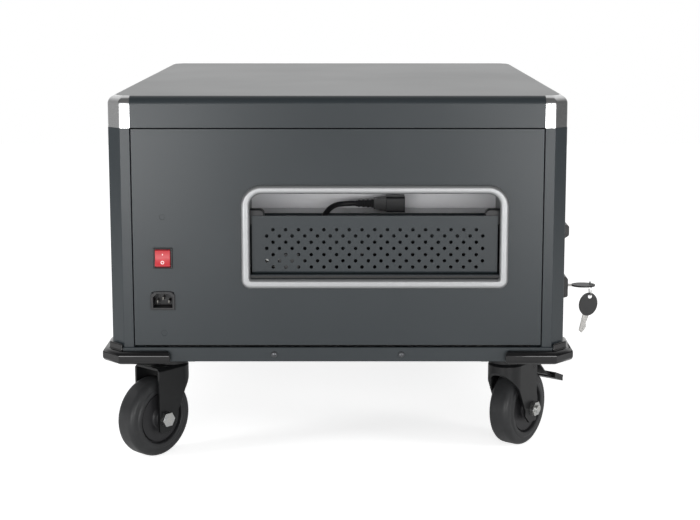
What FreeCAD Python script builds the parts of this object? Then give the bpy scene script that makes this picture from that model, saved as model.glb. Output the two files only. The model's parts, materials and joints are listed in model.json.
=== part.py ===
import FreeCAD, Part
import math
import operator
import os
from types import SimpleNamespace

import Sketcher
from FreeCAD import Placement, Rotation, Vector

# Charging cabinet on castors. Millimetres, +Z up, origin on the floor under the middle of the body.
# The service side with switch, inlet and cord pocket faces -Y, the door with its lock faces +X.

# Driving dimensions
DIMENSIONS = {
    # body
    "body_width": "560",
    "body_depth": "680",
    "total_height": "460",
    "caster_height": "132",
    "base_height": "18",
    "base_proud": "2.4",
    "base_floor": "2.4",
    "base_fit": "0.2",
    "base_screw_x": "78.5",
    "base_screw_head": "7.8",
    "base_screw_rise": "2.2",
    "base_screw_crown": "5",
    "rim_height": "38.5",
    "corner_chamfer": "16",
    "post_flat": "12.4",
    "post_gauge": "2",
    "post_ledge": "12",
    "seam": "1.2",
    "reveal": "2.4",
    "sheet_gauge": "1.5",
    "panel_fold": "14",
    "lid_round": "10",
    "lid_wall": "3",
    "cap_wall": "1.5",
    # corner bumpers
    "bumper_reach": "76",
    "bumper_thick": "10",
    "bumper_height": "16.4",
    "bumper_drop": "2.2",
    "bumper_round": "6",
    "collar_rise": "4.3",
    "collar_thick": "2.6",
    # cord pocket opening and its silver frame
    "opening_x": "45.4",
    "opening_low": "235.9",
    "opening_width": "305.3",
    "opening_height": "105.3",
    "opening_top_round": "15",
    "opening_low_round": "2",
    "frame_band": "10.8",
    "frame_low_band": "12.1",
    "frame_low_round": "11",
    "frame_proud": "5",
    "frame_soft": "4.4",
    # pocket liner, perforated tray and its lugs
    "liner_gauge": "1.2",
    "liner_side_room": "4.8",
    "liner_rise": "4.7",
    "liner_head_room": "5.8",
    "liner_ledge": "307",
    "liner_riser_depth": "66",
    "pocket_depth": "108",
    "tray_setback": "8",
    "tray_gauge": "1.2",
    "tray_width": "301.6",
    "tray_height": "72.1",
    "tray_end_height": "60",
    "tray_bend": "3",
    "hole_size": "4.5",
    "hole_pitch": "15.6",
    "hole_row_pitch": "7.75",
    "hole_low": "8.4",
    "lug_width": "22",
    "lug_height": "20",
    "lug_depth": "12",
    "lug_round": "6",
    # rocker switch
    "switch_x": "-214",
    "switch_z": "261.5",
    "bezel_width": "23.7",
    "bezel_height": "26",
    "bezel_proud": "2",
    "bezel_lip": "2.4",
    "bezel_end": "1.8",
    "switch_depth": "16",
    "rocker_gap": "0.25",
    "rocker_throw": "16",
    "rocker_rise": "5.6",
    "rocker_dip": "2.2",
    "rocker_sink": "5",
    # mains inlet
    "inlet_x": "-215",
    "inlet_z": "208.5",
    "inlet_width": "30",
    "inlet_height": "23.4",
    "inlet_proud": "2",
    "inlet_corner": "4.5",
    "inlet_shell": "1.6",
    "inlet_lip": "1.5",
    "inlet_cavity": "15",
    "inlet_back": "3",
    "pin_width": "2",
    "pin_height": "4",
    "pin_length": "12",
    "pin_spread": "7",
    "pin_earth_rise": "4",
    # painted-over dimples on the service panel
    "dimple_size": "7",
    "dimple_sink": "0.4",
    "dimple_high": "312.5",
    "dimple_low": "167.5",
    # mains lead
    "lead_size": "6.8",
    "lead_layer": "7.4",
    "lead_fold": "20.6",
    "lead_run": "104",
    "lead_left": "64",
    "lead_back": "33.7",
    "lead_aside_run": "36",
    "lead_room": "0.5",
    "lead_drop_run": "50",
    "connector_x": "84.5",
    "connector_y": "-258.5",
    "connector_wide": "27",
    "connector_tall": "20",
    "connector_box": "23.5",
    "connector_taper": "16",
    "connector_soft": "3",
    "connector_slot_room": "0.25",
    "relief_length": "22.9",
    "relief_large": "10.4",
    "relief_small": "8.6",
    "relief_groove": "1.2",
    "plug_wide": "27",
    "plug_tall": "25",
    "plug_long": "24",
    "plug_taper": "12",
    "blade_length": "17",
    "blade_wide": "6.3",
    "blade_thick": "1.5",
    "blade_spread": "6.35",
    "earth_size": "4.8",
    "earth_length": "20",
    "earth_drop": "8",
    "blade_rise": "2",
    # castors
    "caster_x": "215",
    "caster_y": "275",
    "wheel_size": "100",
    "wheel_width": "32",
    "tread_width": "21",
    "core_size": "66",
    "hub_width": "38",
    "hub_size": "24",
    "hub_flare": "3",
    "disc_sink": "3",
    "tyre_shoulder": "6",
    "trail": "30",
    "fork_gap": "40",
    "fork_gauge": "3",
    "fork_top": "116",
    "fork_tail": "40",
    "fork_bend": "4",
    "fork_boss": "18",
    "fork_throat_x": "4",
    "fork_throat_rise": "32",
    "fork_brow": "12",
    "axle_size": "10",
    "axle_fit": "0.06",
    "axle_head": "17",
    "axle_head_height": "6.4",
    "axle_end": "2.6",
    "king_pin": "12",
    "king_fit": "0.1",
    "king_head": "20",
    "king_head_height": "5",
    "swivel_gap": "0.3",
    "race_size": "50",
    "plate_size": "84",
    "plate_gauge": "3",
    "plate_corner": "8",
    "bolt_spread": "62",
    "bolt_size": "8",
    "bolt_fit": "0.2",
    "bolt_head": "13",
    "bolt_head_height": "5.3",
    "brake_pin": "6",
    "brake_x": "32",
    "brake_z": "106.5",
    "brake_hub": "9",
    "brake_width": "37",
    "brake_tip_width": "50",
    "brake_gauge": "3",
    "brake_shelf": "22",
    "brake_dip_run": "18",
    "brake_dip": "17",
    "brake_foot_drop": "13",
    "brake_foot_long": "21",
    "brake_foot_share": "1.6",
    "brake_overhang": "25",
    "brake_soft": "8",
    # door, hinges and lock
    "hinge_size": "9",
    "hinge_pin": "5",
    "hinge_fit": "0.06",
    "hinge_gap": "0.3",
    "hinge_knuckle": "26",
    "hinge_leaf": "12",
    "hinge_leaf_gauge": "2",
    "hinge_low": "195",
    "hinge_high": "352",
    "lock_y": "-220",
    "lock_z": "203",
    "pull_low": "188",
    "pull_high": "288",
    "pull_wide": "38",
    "pull_proud": "17.5",
    "pull_waist": "8",
    "pull_foot": "24",
    "pull_head": "13",
    "pull_soft": "3",
    "barrel_size": "18",
    "barrel_inside": "17",
    "barrel_face": "1",
    "barrel_nut": "24",
    "plug_size": "12",
    "plug_fit": "0.06",
    "plug_inside": "21.5",
    "cam_length": "32",
    "cam_width": "14",
    "cam_gauge": "2.5",
    "keeper_gauge": "2",
    "keeper_clear": "2",
    "keeper_height": "24",
    "keeper_reach": "19",
    "keeper_drop": "6",
    "keeper_tab": "20",
    "key_head_long": "31",
    "key_head_wide": "24",
    "key_head_thick": "2.2",
    "key_head_gap": "5",
    "key_hole": "5.4",
    "key_hole_edge": "5.2",
    "key_blade_long": "24",
    "key_blade_wide": "8",
    "key_blade_thick": "1.9",
    "key_slot_fit": "0.1",
    "ring_size": "18",
    "ring_wire": "1.2",
    "ring_side": "6.6",
    "ring_drop": "5",
    "spare_tilt": "12",
    # inside
    "bulkhead_front": "250",
    "bulkhead_back": "262",
    "bulkhead_fold": "14",
    "rack_gauge": "1.5",
    "rack_front": "236",
    "rack_long": "330",
    "rack_lip": "12",
    "divider_height": "205",
    "divider_pitch": "45",
    "divider_notch": "70",
    "divider_lean": "28",
    "rail_tall": "46",
    "rail_deep": "38",
    "rail_long": "440",
    "rail_low": "300",
    "rail_soft": "3",
    "outlet_pitch": "42",
    "outlet_sink": "3",
    "outlet_room": "0.6",
}
HOLE_ROWS = 7
HOLE_COLUMNS = 18
LEAD_LOOPS = 4
DIVIDERS = 9
OUTLETS = 10
RELIEF_RIBS = 4
CORD_SIDES = 6
HOLE_SIDES = 6
BOLT_SIDES = 6
DIAGONAL = 2 - math.sqrt(2)
OVERCUT = 1
CASTER_HEADINGS = {"service_left": 229, "service_door": 53, "far_left": 195, "far_door": 345}

doc = FreeCAD.newDocument("charging_cabinet")
sheet = doc.addObject("Spreadsheet::Sheet", "Dimensions")


class Size:
    """A length held both as a number and as the expression that ties it to the sheet."""

    def __init__(self, value, text):
        self.value = value
        self.text = text

    def __float__(self):
        return self.value

    def __neg__(self):
        return Size(-self.value, f"(-{self.text})")


def as_size(amount):
    if isinstance(amount, Size):
        return amount
    return Size(float(amount), f"({float(amount)!r})")


def worked_out(sign, rule):
    """The two methods that let sizes be combined by one sign, in either order."""

    def forward(first, second):
        other = as_size(second)
        return Size(rule(first.value, other.value), f"({first.text} {sign} {other.text})")

    def backward(first, second):
        return forward(as_size(second), first)

    return forward, backward


SIGNS = {"add": ("+", operator.add), "sub": ("-", operator.sub),
         "mul": ("*", operator.mul), "truediv": ("/", operator.truediv)}
for word, (sign, rule) in SIGNS.items():
    forward, backward = worked_out(sign, rule)
    setattr(Size, f"__{word}__", forward)
    setattr(Size, f"__r{word}__", backward)

d = SimpleNamespace()
for row, (name, text) in enumerate(DIMENSIONS.items(), 1):
    sheet.set(f"A{row}", name)
    sheet.set(f"B{row}", text)
    sheet.setAlias(f"B{row}", name)
    setattr(d, name, Size(float(text), f"Dimensions.{name}"))
doc.recompute()

parts = []


def keep(item, label):
    """Mark an object of the document as a sub-part and give it its name."""
    item.Label = label
    parts.append(item)
    return item


def bind(item, path, amount):
    """Tie one property of an object to the sheet."""
    item.setExpression(path, as_size(amount).text)


def place(item, x=0, y=0, z=0, turn=None):
    item.Placement = Placement(Vector(float(x), float(y), float(z)), turn or Rotation())
    for axis, amount in zip("xyz", (x, y, z)):
        if isinstance(amount, Size):
            bind(item, f"Placement.Base.{axis}", amount)
    return item


def new_body(label):
    return doc.addObject("PartDesign::Body", label)


def draw(body, z=0, plane="XY_Plane"):
    """An empty sketch on one of the body's own planes, at a distance along its normal."""
    drawing = body.newObject("Sketcher::SketchObject", "outline")
    support = next(f for f in body.Origin.OriginFeatures if f.Role == plane)
    drawing.AttachmentSupport = [(support, "")]
    drawing.MapMode = "FlatFace"
    drawing.AttachmentOffset = Placement(Vector(0, 0, float(z)), Rotation())
    bind(drawing, "AttachmentOffset.Base.z", z)
    return drawing


def fix_point(drawing, geometry, position, x, y):
    for kind, amount in (("DistanceX", x), ("DistanceY", y)):
        rule = Sketcher.Constraint(kind, -1, 1, geometry, position, float(amount))
        index = drawing.addConstraint(rule)
        bind(drawing, f"Constraints[{index}]", amount)


def outline(drawing, corners):
    """Close straight sides through the corners; a third value rounds that corner."""
    count = len(corners)
    spots = [Vector(float(c[0]), float(c[1]), 0) for c in corners]
    ends = []
    for i, corner in enumerate(corners):
        before = (spots[i - 1] - spots[i]).normalize()
        after = (spots[(i + 1) % count] - spots[i]).normalize()
        if len(corner) == 2:
            ends.append((spots[i], spots[i], None))
            continue
        half = before.getAngle(after) / 2
        radius = float(corner[2])
        reach = radius / math.tan(half)
        middle = spots[i] + (before + after).normalize() * (radius / math.sin(half))
        ends.append((spots[i] + before * reach, spots[i] + after * reach, middle))
    sides = []
    for i in range(count):
        side = Part.LineSegment(ends[i][1], ends[(i + 1) % count][0])
        sides.append(drawing.addGeometry(side, False))
    for i, corner in enumerate(corners):
        side_in, side_out = sides[i - 1], sides[i]
        if ends[i][2] is None:
            drawing.addConstraint(Sketcher.Constraint("Coincident", side_in, 2, side_out, 1))
            fix_point(drawing, side_out, 1, corner[0], corner[1])
            continue
        first, last, middle = ends[i]
        left_turn = (first - middle).cross(last - middle).z > 0
        begin, finish = (first, last) if left_turn else (last, first)
        angles = [math.atan2(p.y - middle.y, p.x - middle.x) for p in (begin, finish)]
        ring = Part.Circle(middle, Vector(0, 0, 1), float(corner[2]))
        arc = drawing.addGeometry(Part.ArcOfCircle(ring, angles[0], angles[1]), False)
        joint_in, joint_out = (1, 2) if left_turn else (2, 1)
        mark = drawing.addGeometry(Part.Point(spots[i]), True)
        drawing.addConstraint(Sketcher.Constraint("Tangent", side_in, 2, arc, joint_in))
        drawing.addConstraint(Sketcher.Constraint("Tangent", arc, joint_out, side_out, 1))
        drawing.addConstraint(Sketcher.Constraint("PointOnObject", mark, 1, side_in))
        drawing.addConstraint(Sketcher.Constraint("PointOnObject", mark, 1, side_out))
        fix_point(drawing, mark, 1, corner[0], corner[1])
        index = drawing.addConstraint(Sketcher.Constraint("Radius", arc, float(corner[2])))
        bind(drawing, f"Constraints[{index}]", corner[2])
    return drawing


def circle(drawing, x, y, size):
    """A full circle given by its middle and its diameter."""
    ring = Part.Circle(Vector(float(x), float(y), 0), Vector(0, 0, 1), float(size) / 2)
    index = drawing.addGeometry(ring, False)
    fix_point(drawing, index, 3, x, y)
    rule = drawing.addConstraint(Sketcher.Constraint("Diameter", index, float(size)))
    bind(drawing, f"Constraints[{rule}]", size)
    return drawing


def rectangle(x, y, wide, tall):
    """Corners of a rectangle given by its middle and its two sizes."""
    return [(x - wide / 2, y - tall / 2), (x + wide / 2, y - tall / 2),
            (x + wide / 2, y + tall / 2), (x - wide / 2, y + tall / 2)]


def small_hole(x, y, size, sides):
    """Corners of a small hole with flat sides, given by its width across them."""
    radius = size / (2 * math.cos(math.pi / sides))
    turns = [2 * math.pi * n / sides for n in range(sides)]
    return [(x + radius * math.cos(turn), y + radius * math.sin(turn)) for turn in turns]


def octagon(half_x, half_y, chamfer):
    """A rectangle about the origin with its four corners cut at 45 degrees."""
    return [(-half_x + chamfer, -half_y), (half_x - chamfer, -half_y),
            (half_x, -half_y + chamfer), (half_x, half_y - chamfer),
            (half_x - chamfer, half_y), (-half_x + chamfer, half_y),
            (-half_x, half_y - chamfer), (-half_x, -half_y + chamfer)]


def feature(body, kind, drawing, length, reverse=False, both=False):
    item = body.newObject(f"PartDesign::{kind}", kind.lower())
    item.Profile = drawing
    item.Reversed = reverse
    if both:
        item.SideType = "Symmetric"
    bind(item, "Length", length)
    return item


def pad(body, drawing, length, reverse=False, both=False):
    return feature(body, "Pad", drawing, length, reverse, both)


def pocket(body, drawing, length, reverse=False, both=False):
    return feature(body, "Pocket", drawing, length, reverse, both)


def spin(body, drawing):
    """A full turn of the sketch about its own upright axis."""
    item = body.newObject("PartDesign::Revolution", "turned")
    item.Profile = drawing
    item.ReferenceAxis = (drawing, ["V_Axis"])
    item.Angle = 360
    return item


def work_edges(body, kind, size_name, amount, picked):
    """Work the edges of the body so far that the test picks."""
    doc.recompute()
    base = body.Tip
    names = [f"Edge{n}" for n, edge in enumerate(base.Shape.Edges, 1) if picked(edge)]
    item = body.newObject(f"PartDesign::{kind}", kind.lower())
    item.Base = (base, names)
    bind(item, size_name, amount)
    return item


def soften(body, radius, picked):
    return work_edges(body, "Fillet", "Radius", radius, picked)


def bevel(body, amount, picked):
    return work_edges(body, "Chamfer", "Size", amount, picked)


def upright(edge):
    box = edge.BoundBox
    return box.ZLength > OVERCUT and box.XLength + box.YLength < OVERCUT / 10


def at_height(amount):
    """A test for edges that lie flat at one height."""
    def test(edge):
        box = edge.BoundBox
        return abs(box.ZMin - float(amount)) + abs(box.ZMax - float(amount)) < OVERCUT / 10
    return test


def combine(kind, label, base, tool):
    item = doc.addObject(f"Part::{kind}", label)
    item.Base = base
    item.Tool = tool
    return item


def block(label, x, y, z, long, wide, tall):
    """A box given by its lowest corner and its three sizes."""
    item = doc.addObject("Part::Box", label)
    bind(item, "Length", long)
    bind(item, "Width", wide)
    bind(item, "Height", tall)
    return place(item, x, y, z)


def rod(label, size, tall, x=0, y=0, z=0, turn=None):
    item = doc.addObject("Part::Cylinder", label)
    bind(item, "Radius", size / 2)
    bind(item, "Height", tall)
    return place(item, x, y, z, turn)


def prism(label, sides, size, tall, x=0, y=0, z=0, turn=None):
    """A bar with flat sides, given by its width across the flats."""
    item = doc.addObject("Part::Prism", label)
    item.Polygon = sides
    bind(item, "Circumradius", size / (2 * math.cos(math.pi / sides)))
    bind(item, "Height", tall)
    return place(item, x, y, z, turn)


def hexagon(label, size, tall, x=0, y=0, z=0, turn=None):
    return prism(label, 6, size, tall, x, y, z, turn)


def joined(label, items):
    item = doc.addObject("Part::MultiFuse", label)
    item.Shapes = items
    return item


def group(label, items):
    item = doc.addObject("Part::Compound", label)
    item.Links = items
    return keep(item, label)


def mirrored(item, normal):
    copy = doc.addObject("Part::Mirroring", f"{item.Name}_other")
    copy.Source = item
    copy.Normal = normal
    return copy


def on_four_corners(label, item):
    """The piece at one corner of the plan and its mirror images at the other three."""
    across = mirrored(item, Vector(1, 0, 0))
    return group(label, [item, across, mirrored(item, Vector(0, 1, 0)), mirrored(across, Vector(0, 1, 0))])


def repeated(label, item, places):
    """A set of like pieces: copies of one finished solid at the given places."""
    doc.recompute()
    copies = []
    for spot in places:
        copy = item.Shape.copy()
        copy.Placement = spot.multiply(copy.Placement)
        copies.append(copy)
    whole = doc.addObject("Part::Feature", label)
    whole.Shape = Part.Compound(copies)
    return keep(whole, label)


# Heights and half sizes that many pieces share
half_x = d.body_width / 2
half_y = d.body_depth / 2
base_top = d.caster_height + d.base_height
floor_top = d.caster_height + d.base_floor
rim_low = d.total_height - d.rim_height
panel_low = base_top + d.reveal
panel_high = rim_low - d.seam
post_edge_x = half_x - d.corner_chamfer - d.post_flat
post_edge_y = half_y - d.corner_chamfer - d.post_flat


def on_wall(item, turn, x=0, y=0):
    """Stand a piece drawn flat against an outer wall: its z points out of the cabinet, its y up."""
    upright_wall = Rotation(Vector(0, 0, 1), turn).multiply(Rotation(Vector(1, 0, 0), 90))
    return place(item, x, y, 0, upright_wall)


def on_service_wall(item):
    return on_wall(item, 0, 0, -half_y)


def on_door_wall(item):
    return on_wall(item, 90, half_x, 0)


# Base pan: a folded steel tray a little larger than the body, whose rim shows as the plinth
def base_pan():
    body = new_body("base_pan")
    chamfer = d.corner_chamfer + d.base_proud * DIAGONAL
    rim = octagon(half_x + d.base_proud, half_y + d.base_proud, chamfer)
    pad(body, outline(draw(body), rim), d.base_height)
    inner = octagon(half_x + d.base_fit, half_y + d.base_fit, d.corner_chamfer + d.base_fit * DIAGONAL)
    pocket(body, outline(draw(body, d.base_height), inner), d.base_height - d.base_floor)
    holes = draw(body, d.base_floor)
    for x, y in bolt_spots():
        outline(holes, small_hole(x, y, d.bolt_size + d.bolt_fit * 2, BOLT_SIDES))
    pocket(body, holes, d.base_floor + OVERCUT)
    keep(place(body, 0, 0, d.caster_height), "base_pan")


def bolt_spots():
    """Where the castor bolts go through the base."""
    spots = []
    for side_x in (-1, 1):
        for side_y in (-1, 1):
            for step_x in (-0.5, 0.5):
                for step_y in (-0.5, 0.5):
                    x = d.caster_x * side_x + d.bolt_spread * step_x
                    y = d.caster_y * side_y + d.bolt_spread * step_y
                    spots.append((x, y))
    return spots


# Corner posts: roll-formed steel with a 45 degree outer face and a rebate for the panels
def corner_posts():
    body = new_body("corner_post")
    edge_x, edge_y = -post_edge_x, -post_edge_y
    gauge, fold, ledge = d.post_gauge, d.panel_fold, d.post_ledge
    inset = gauge * (math.sqrt(2) - 1)
    outside = [(edge_x + ledge, -half_y + fold), (edge_x, -half_y + fold), (edge_x, -half_y),
               (-half_x + d.corner_chamfer, -half_y), (-half_x, -half_y + d.corner_chamfer),
               (-half_x, edge_y), (-half_x + fold, edge_y), (-half_x + fold, edge_y + ledge)]
    inside = [(-half_x + fold + gauge, edge_y + ledge), (-half_x + fold + gauge, edge_y - gauge),
              (-half_x + gauge, edge_y - gauge), (-half_x + gauge, -half_y + d.corner_chamfer + inset),
              (-half_x + d.corner_chamfer + inset, -half_y + gauge), (edge_x - gauge, -half_y + gauge),
              (edge_x - gauge, -half_y + fold + gauge), (edge_x + ledge, -half_y + fold + gauge)]
    pad(body, outline(draw(body), outside + inside), rim_low - floor_top)
    on_four_corners("corner_posts", place(body, 0, 0, floor_top))


# Sheet panels with all four edges folded back
def folded_panel(label, half_span):
    body = new_body(label)
    middle = (panel_low + panel_high) / 2
    tall = panel_high - panel_low
    pad(body, outline(draw(body), rectangle(0, middle, half_span * 2, tall)), d.panel_fold, reverse=True)
    hollow = rectangle(0, middle, half_span * 2 - d.sheet_gauge * 2, tall - d.sheet_gauge * 2)
    pocket(body, outline(draw(body, -d.sheet_gauge), hollow), d.panel_fold)
    return body




def opening_corners(grow_side, grow_top, grow_low, round_top, round_low):
    """The cord pocket's opening, widened by a band on each side."""
    left = d.opening_x - d.opening_width / 2 - grow_side
    right = d.opening_x + d.opening_width / 2 + grow_side
    low = d.opening_low - grow_low
    high = d.opening_low + d.opening_height + grow_top
    return [(left, low, round_low), (right, low, round_low),
            (right, high, round_top), (left, high, round_top)]


def service_panel():
    body = folded_panel("service_panel", post_edge_x - d.seam)
    through = draw(body)
    outline(through, opening_corners(0, 0, 0, d.opening_top_round, d.opening_low_round))
    switch_wide = d.bezel_width - d.bezel_lip + d.base_fit * 2
    switch_tall = d.bezel_height - d.bezel_lip + d.base_fit * 2
    outline(through, rectangle(d.switch_x, d.switch_z, switch_wide, switch_tall))
    inlet_wide = d.inlet_width - d.inlet_lip * 2 + d.base_fit * 2
    inlet_tall = d.inlet_height - d.inlet_lip * 2 + d.base_fit * 2
    outline(through, rectangle(d.inlet_x, d.inlet_z, inlet_wide, inlet_tall))
    pocket(body, through, d.sheet_gauge + OVERCUT)
    dimples = draw(body)
    for height in (d.dimple_high, d.dimple_low):
        circle(dimples, d.switch_x, height, d.dimple_size)
    pocket(body, dimples, d.dimple_sink)
    keep(on_service_wall(body), "service_panel")


def plain_panels():
    far = folded_panel("far_side_panel", post_edge_x - d.seam)
    keep(on_wall(far, 180, 0, half_y), "far_side_panel")
    back = folded_panel("back_panel", post_edge_y - d.seam)
    keep(on_wall(back, 270, -half_x, 0), "back_panel")


# Top cover with a rounded upper edge, and the bright caps let into its four corners
def lid_form(label, inset, overcut=0):
    body = new_body(label)
    chamfer = d.corner_chamfer - inset * DIAGONAL
    height = d.rim_height - inset
    plan = octagon(half_x - inset, half_y - inset, chamfer)
    pad(body, outline(draw(body, -overcut), plan), height + overcut)
    soften(body, d.lid_round - inset, at_height(height))
    return place(body, 0, 0, rim_low)


def top_cover():
    outer = lid_form("lid_outer", as_size(0))
    inner = lid_form("lid_inner", d.lid_wall, OVERCUT)
    shell = combine("Cut", "lid_shell", outer, inner)
    behind_caps = lid_form("cap_inner", d.cap_wall, OVERCUT)
    skin = combine("Cut", "cap_skin", outer, behind_caps)
    flat = new_body("lid_flat")
    inset = d.lid_round
    top = octagon(half_x - inset, half_y - inset, d.corner_chamfer - inset * DIAGONAL)
    pad(flat, outline(draw(flat), top), d.rim_height + OVERCUT)
    place(flat, 0, 0, rim_low)
    edge_skin = combine("Cut", "cap_edge_skin", skin, flat)
    corner = block("cap_corner", -half_x - OVERCUT, -half_y - OVERCUT, rim_low,
                   half_x - post_edge_x + OVERCUT, half_y - post_edge_y + OVERCUT, d.rim_height + OVERCUT)
    cap = combine("Common", "corner_cap", edge_skin, corner)
    caps = on_four_corners("top_corner_caps", cap)
    keep(combine("Cut", "top_cover", shell, caps), "top_cover")


# Rubber bumpers wrapped round the corners of the base, each with a collar on the corner's facet
def corner_bumpers():
    body = new_body("corner_bumper")
    wall_x, wall_y = half_x + d.base_proud, half_y + d.base_proud
    chamfer = d.corner_chamfer + d.base_proud * DIAGONAL
    thick, reach = d.bumper_thick, d.bumper_reach
    bend = chamfer + thick * DIAGONAL
    facet = [(-wall_x + chamfer, -wall_y), (-wall_x, -wall_y + chamfer)]
    plan = [(-wall_x + reach, -wall_y)] + facet
    plan += [(-wall_x, -wall_y + reach), (-wall_x - thick, -wall_y + reach),
             (-wall_x - thick, -wall_y - thick + bend), (-wall_x - thick + bend, -wall_y - thick),
             (-wall_x + reach, -wall_y - thick)]
    pad(body, outline(draw(body), plan), d.bumper_height)
    limit_x = float(wall_x) + OVERCUT / 10
    limit_y = float(wall_y) + OVERCUT / 10
    lean = float(wall_x + wall_y - chamfer) + OVERCUT / 10

    def outer_rim(edge):
        spot = edge.valueAt((edge.FirstParameter + edge.LastParameter) / 2)
        outside = spot.x < -limit_x or spot.y < -limit_y or spot.x + spot.y < -lean
        return outside and edge.BoundBox.ZLength < OVERCUT / 10

    soften(body, d.bumper_round, outer_rim)
    aside = d.collar_thick / math.sqrt(2)
    collar = facet + [(x - aside, y - aside) for x, y in reversed(facet)]
    pad(body, outline(draw(body), collar), d.bumper_drop + d.base_height + d.collar_rise)
    on_four_corners("corner_bumpers", place(body, 0, 0, d.caster_height - d.bumper_drop))


def base_screws():
    """Pan-head screws in the plinth, two on each long wall."""
    rim = prism("screw_rim", BOLT_SIDES, d.base_screw_head, d.base_screw_rise / 2)
    crown = prism("screw_crown", BOLT_SIDES, d.base_screw_crown, d.base_screw_rise)
    head = joined("base_screw", [rim, crown])
    z = float(d.caster_height + d.base_height / 2)
    y = float(half_y + d.base_proud)
    x = float(d.base_screw_x)
    spots = []
    for side in (-1, 1):
        out = Rotation(Vector(0, 0, 1), Vector(0, side, 0))
        spots += [Placement(Vector(step * x, side * y, z), out) for step in (-1, 1)]
    repeated("base_screws", head, spots)


# Silver half-round frame of the cord pocket
def opening_frame():
    body = new_body("opening_frame")
    top_round = d.opening_top_round + d.frame_band
    ring = draw(body)
    outline(ring, opening_corners(d.frame_band, d.frame_band, d.frame_low_band, top_round, d.frame_low_round))
    outline(ring, opening_corners(0, 0, 0, d.opening_top_round, d.opening_low_round))
    pad(body, ring, d.frame_proud)
    soften(body, d.frame_soft, at_height(d.frame_proud))
    keep(on_service_wall(body), "opening_frame")


liner_floor = d.opening_low + d.liner_rise
liner_roof = d.opening_low + d.opening_height + d.liner_head_room
liner_wide = d.opening_width + d.liner_side_room * 2


# Pocket liner: a pale folded box with a ledge behind the tray
def pocket_liner():
    body = new_body("pocket_liner")
    gauge, riser, deep = d.liner_gauge, d.liner_riser_depth, d.pocket_depth
    outer = [(liner_floor - gauge, -d.sheet_gauge), (liner_roof + gauge, -d.sheet_gauge),
             (liner_roof + gauge, -deep - gauge), (d.liner_ledge - gauge, -deep - gauge),
             (d.liner_ledge - gauge, -riser - gauge), (liner_floor - gauge, -riser - gauge)]
    inner = [(liner_floor, OVERCUT), (liner_roof, OVERCUT), (liner_roof, -deep),
             (d.liner_ledge, -deep), (d.liner_ledge, -riser), (liner_floor, -riser)]
    side = draw(body, d.opening_x, "YZ_Plane")
    pad(body, outline(side, outer), liner_wide + gauge * 2, both=True)
    hollow = draw(body, d.opening_x, "YZ_Plane")
    pocket(body, outline(hollow, inner), liner_wide, both=True)
    keep(on_service_wall(body), "pocket_liner")


# Perforated tray: staggered rows of punched holes in a front bent up from the floor
def cable_tray():
    body = new_body("cable_tray")
    gauge, back = d.tray_gauge, d.liner_riser_depth - d.base_fit
    front = -d.tray_setback
    bend = [(liner_floor, front, d.tray_bend), (liner_floor + d.tray_height, front),
            (liner_floor + d.tray_height, front - gauge),
            (liner_floor + gauge, front - gauge, d.tray_bend - gauge),
            (liner_floor + gauge, -back), (liner_floor, -back)]
    pad(body, outline(draw(body, d.opening_x, "YZ_Plane"), bend), d.tray_width, both=True)
    for side in (-1, 1):
        edge = d.opening_x + d.tray_width / 2 * side
        end = [(liner_floor + gauge / 2, front - gauge / 2),
               (liner_floor + d.tray_end_height, front - gauge / 2),
               (liner_floor + d.tray_end_height, -back), (liner_floor + gauge / 2, -back)]
        pad(body, outline(draw(body, edge, "YZ_Plane"), end), gauge, reverse=side > 0)
    for first_row, columns in ((0, HOLE_COLUMNS - 1), (1, HOLE_COLUMNS)):
        punch = draw(body, front + OVERCUT)
        left = d.opening_x - d.hole_pitch * ((columns - 1) / 2)
        low = liner_floor + d.hole_low + d.hole_row_pitch * first_row
        corners = small_hole(left, low, d.hole_size, HOLE_SIDES)
        cut = pocket(body, outline(punch, corners), gauge + OVERCUT * 2)
        doc.recompute()
        rows = len(range(first_row, HOLE_ROWS, 2))
        across = body.newObject("PartDesign::LinearPattern", "columns")
        across.Direction = (punch, ["H_Axis"])
        across.Occurrences = columns
        bind(across, "Length", d.hole_pitch * (columns - 1))
        up = body.newObject("PartDesign::LinearPattern", "rows")
        up.Direction = (punch, ["V_Axis"])
        up.Occurrences = rows
        bind(up, "Length", d.hole_row_pitch * (2 * (rows - 1)))
        field = body.newObject("PartDesign::MultiTransform", "hole_field")
        field.Originals = [cut]
        field.Transformations = [across, up]
        body.Tip = field
        doc.recompute()
    keep(on_service_wall(body), "cable_tray")


def tray_lugs():
    """Dark moulded lugs on the liner's side walls that hold the tray's upper corners."""
    lugs = []
    low = liner_floor + d.tray_end_height
    for side in (-1, 1):
        body = new_body("tray_lug")
        wall = d.opening_x + liner_wide / 2 * side
        inner = wall - d.lug_width * side
        shape = [(wall, low), (wall, low + d.lug_height),
                 (inner, low + d.lug_height, d.lug_round), (inner, low)]
        pad(body, outline(draw(body, -d.tray_setback - d.tray_gauge), shape), d.lug_depth, reverse=True)
        lugs.append(on_service_wall(body))
    group("tray_lugs", lugs)


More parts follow.
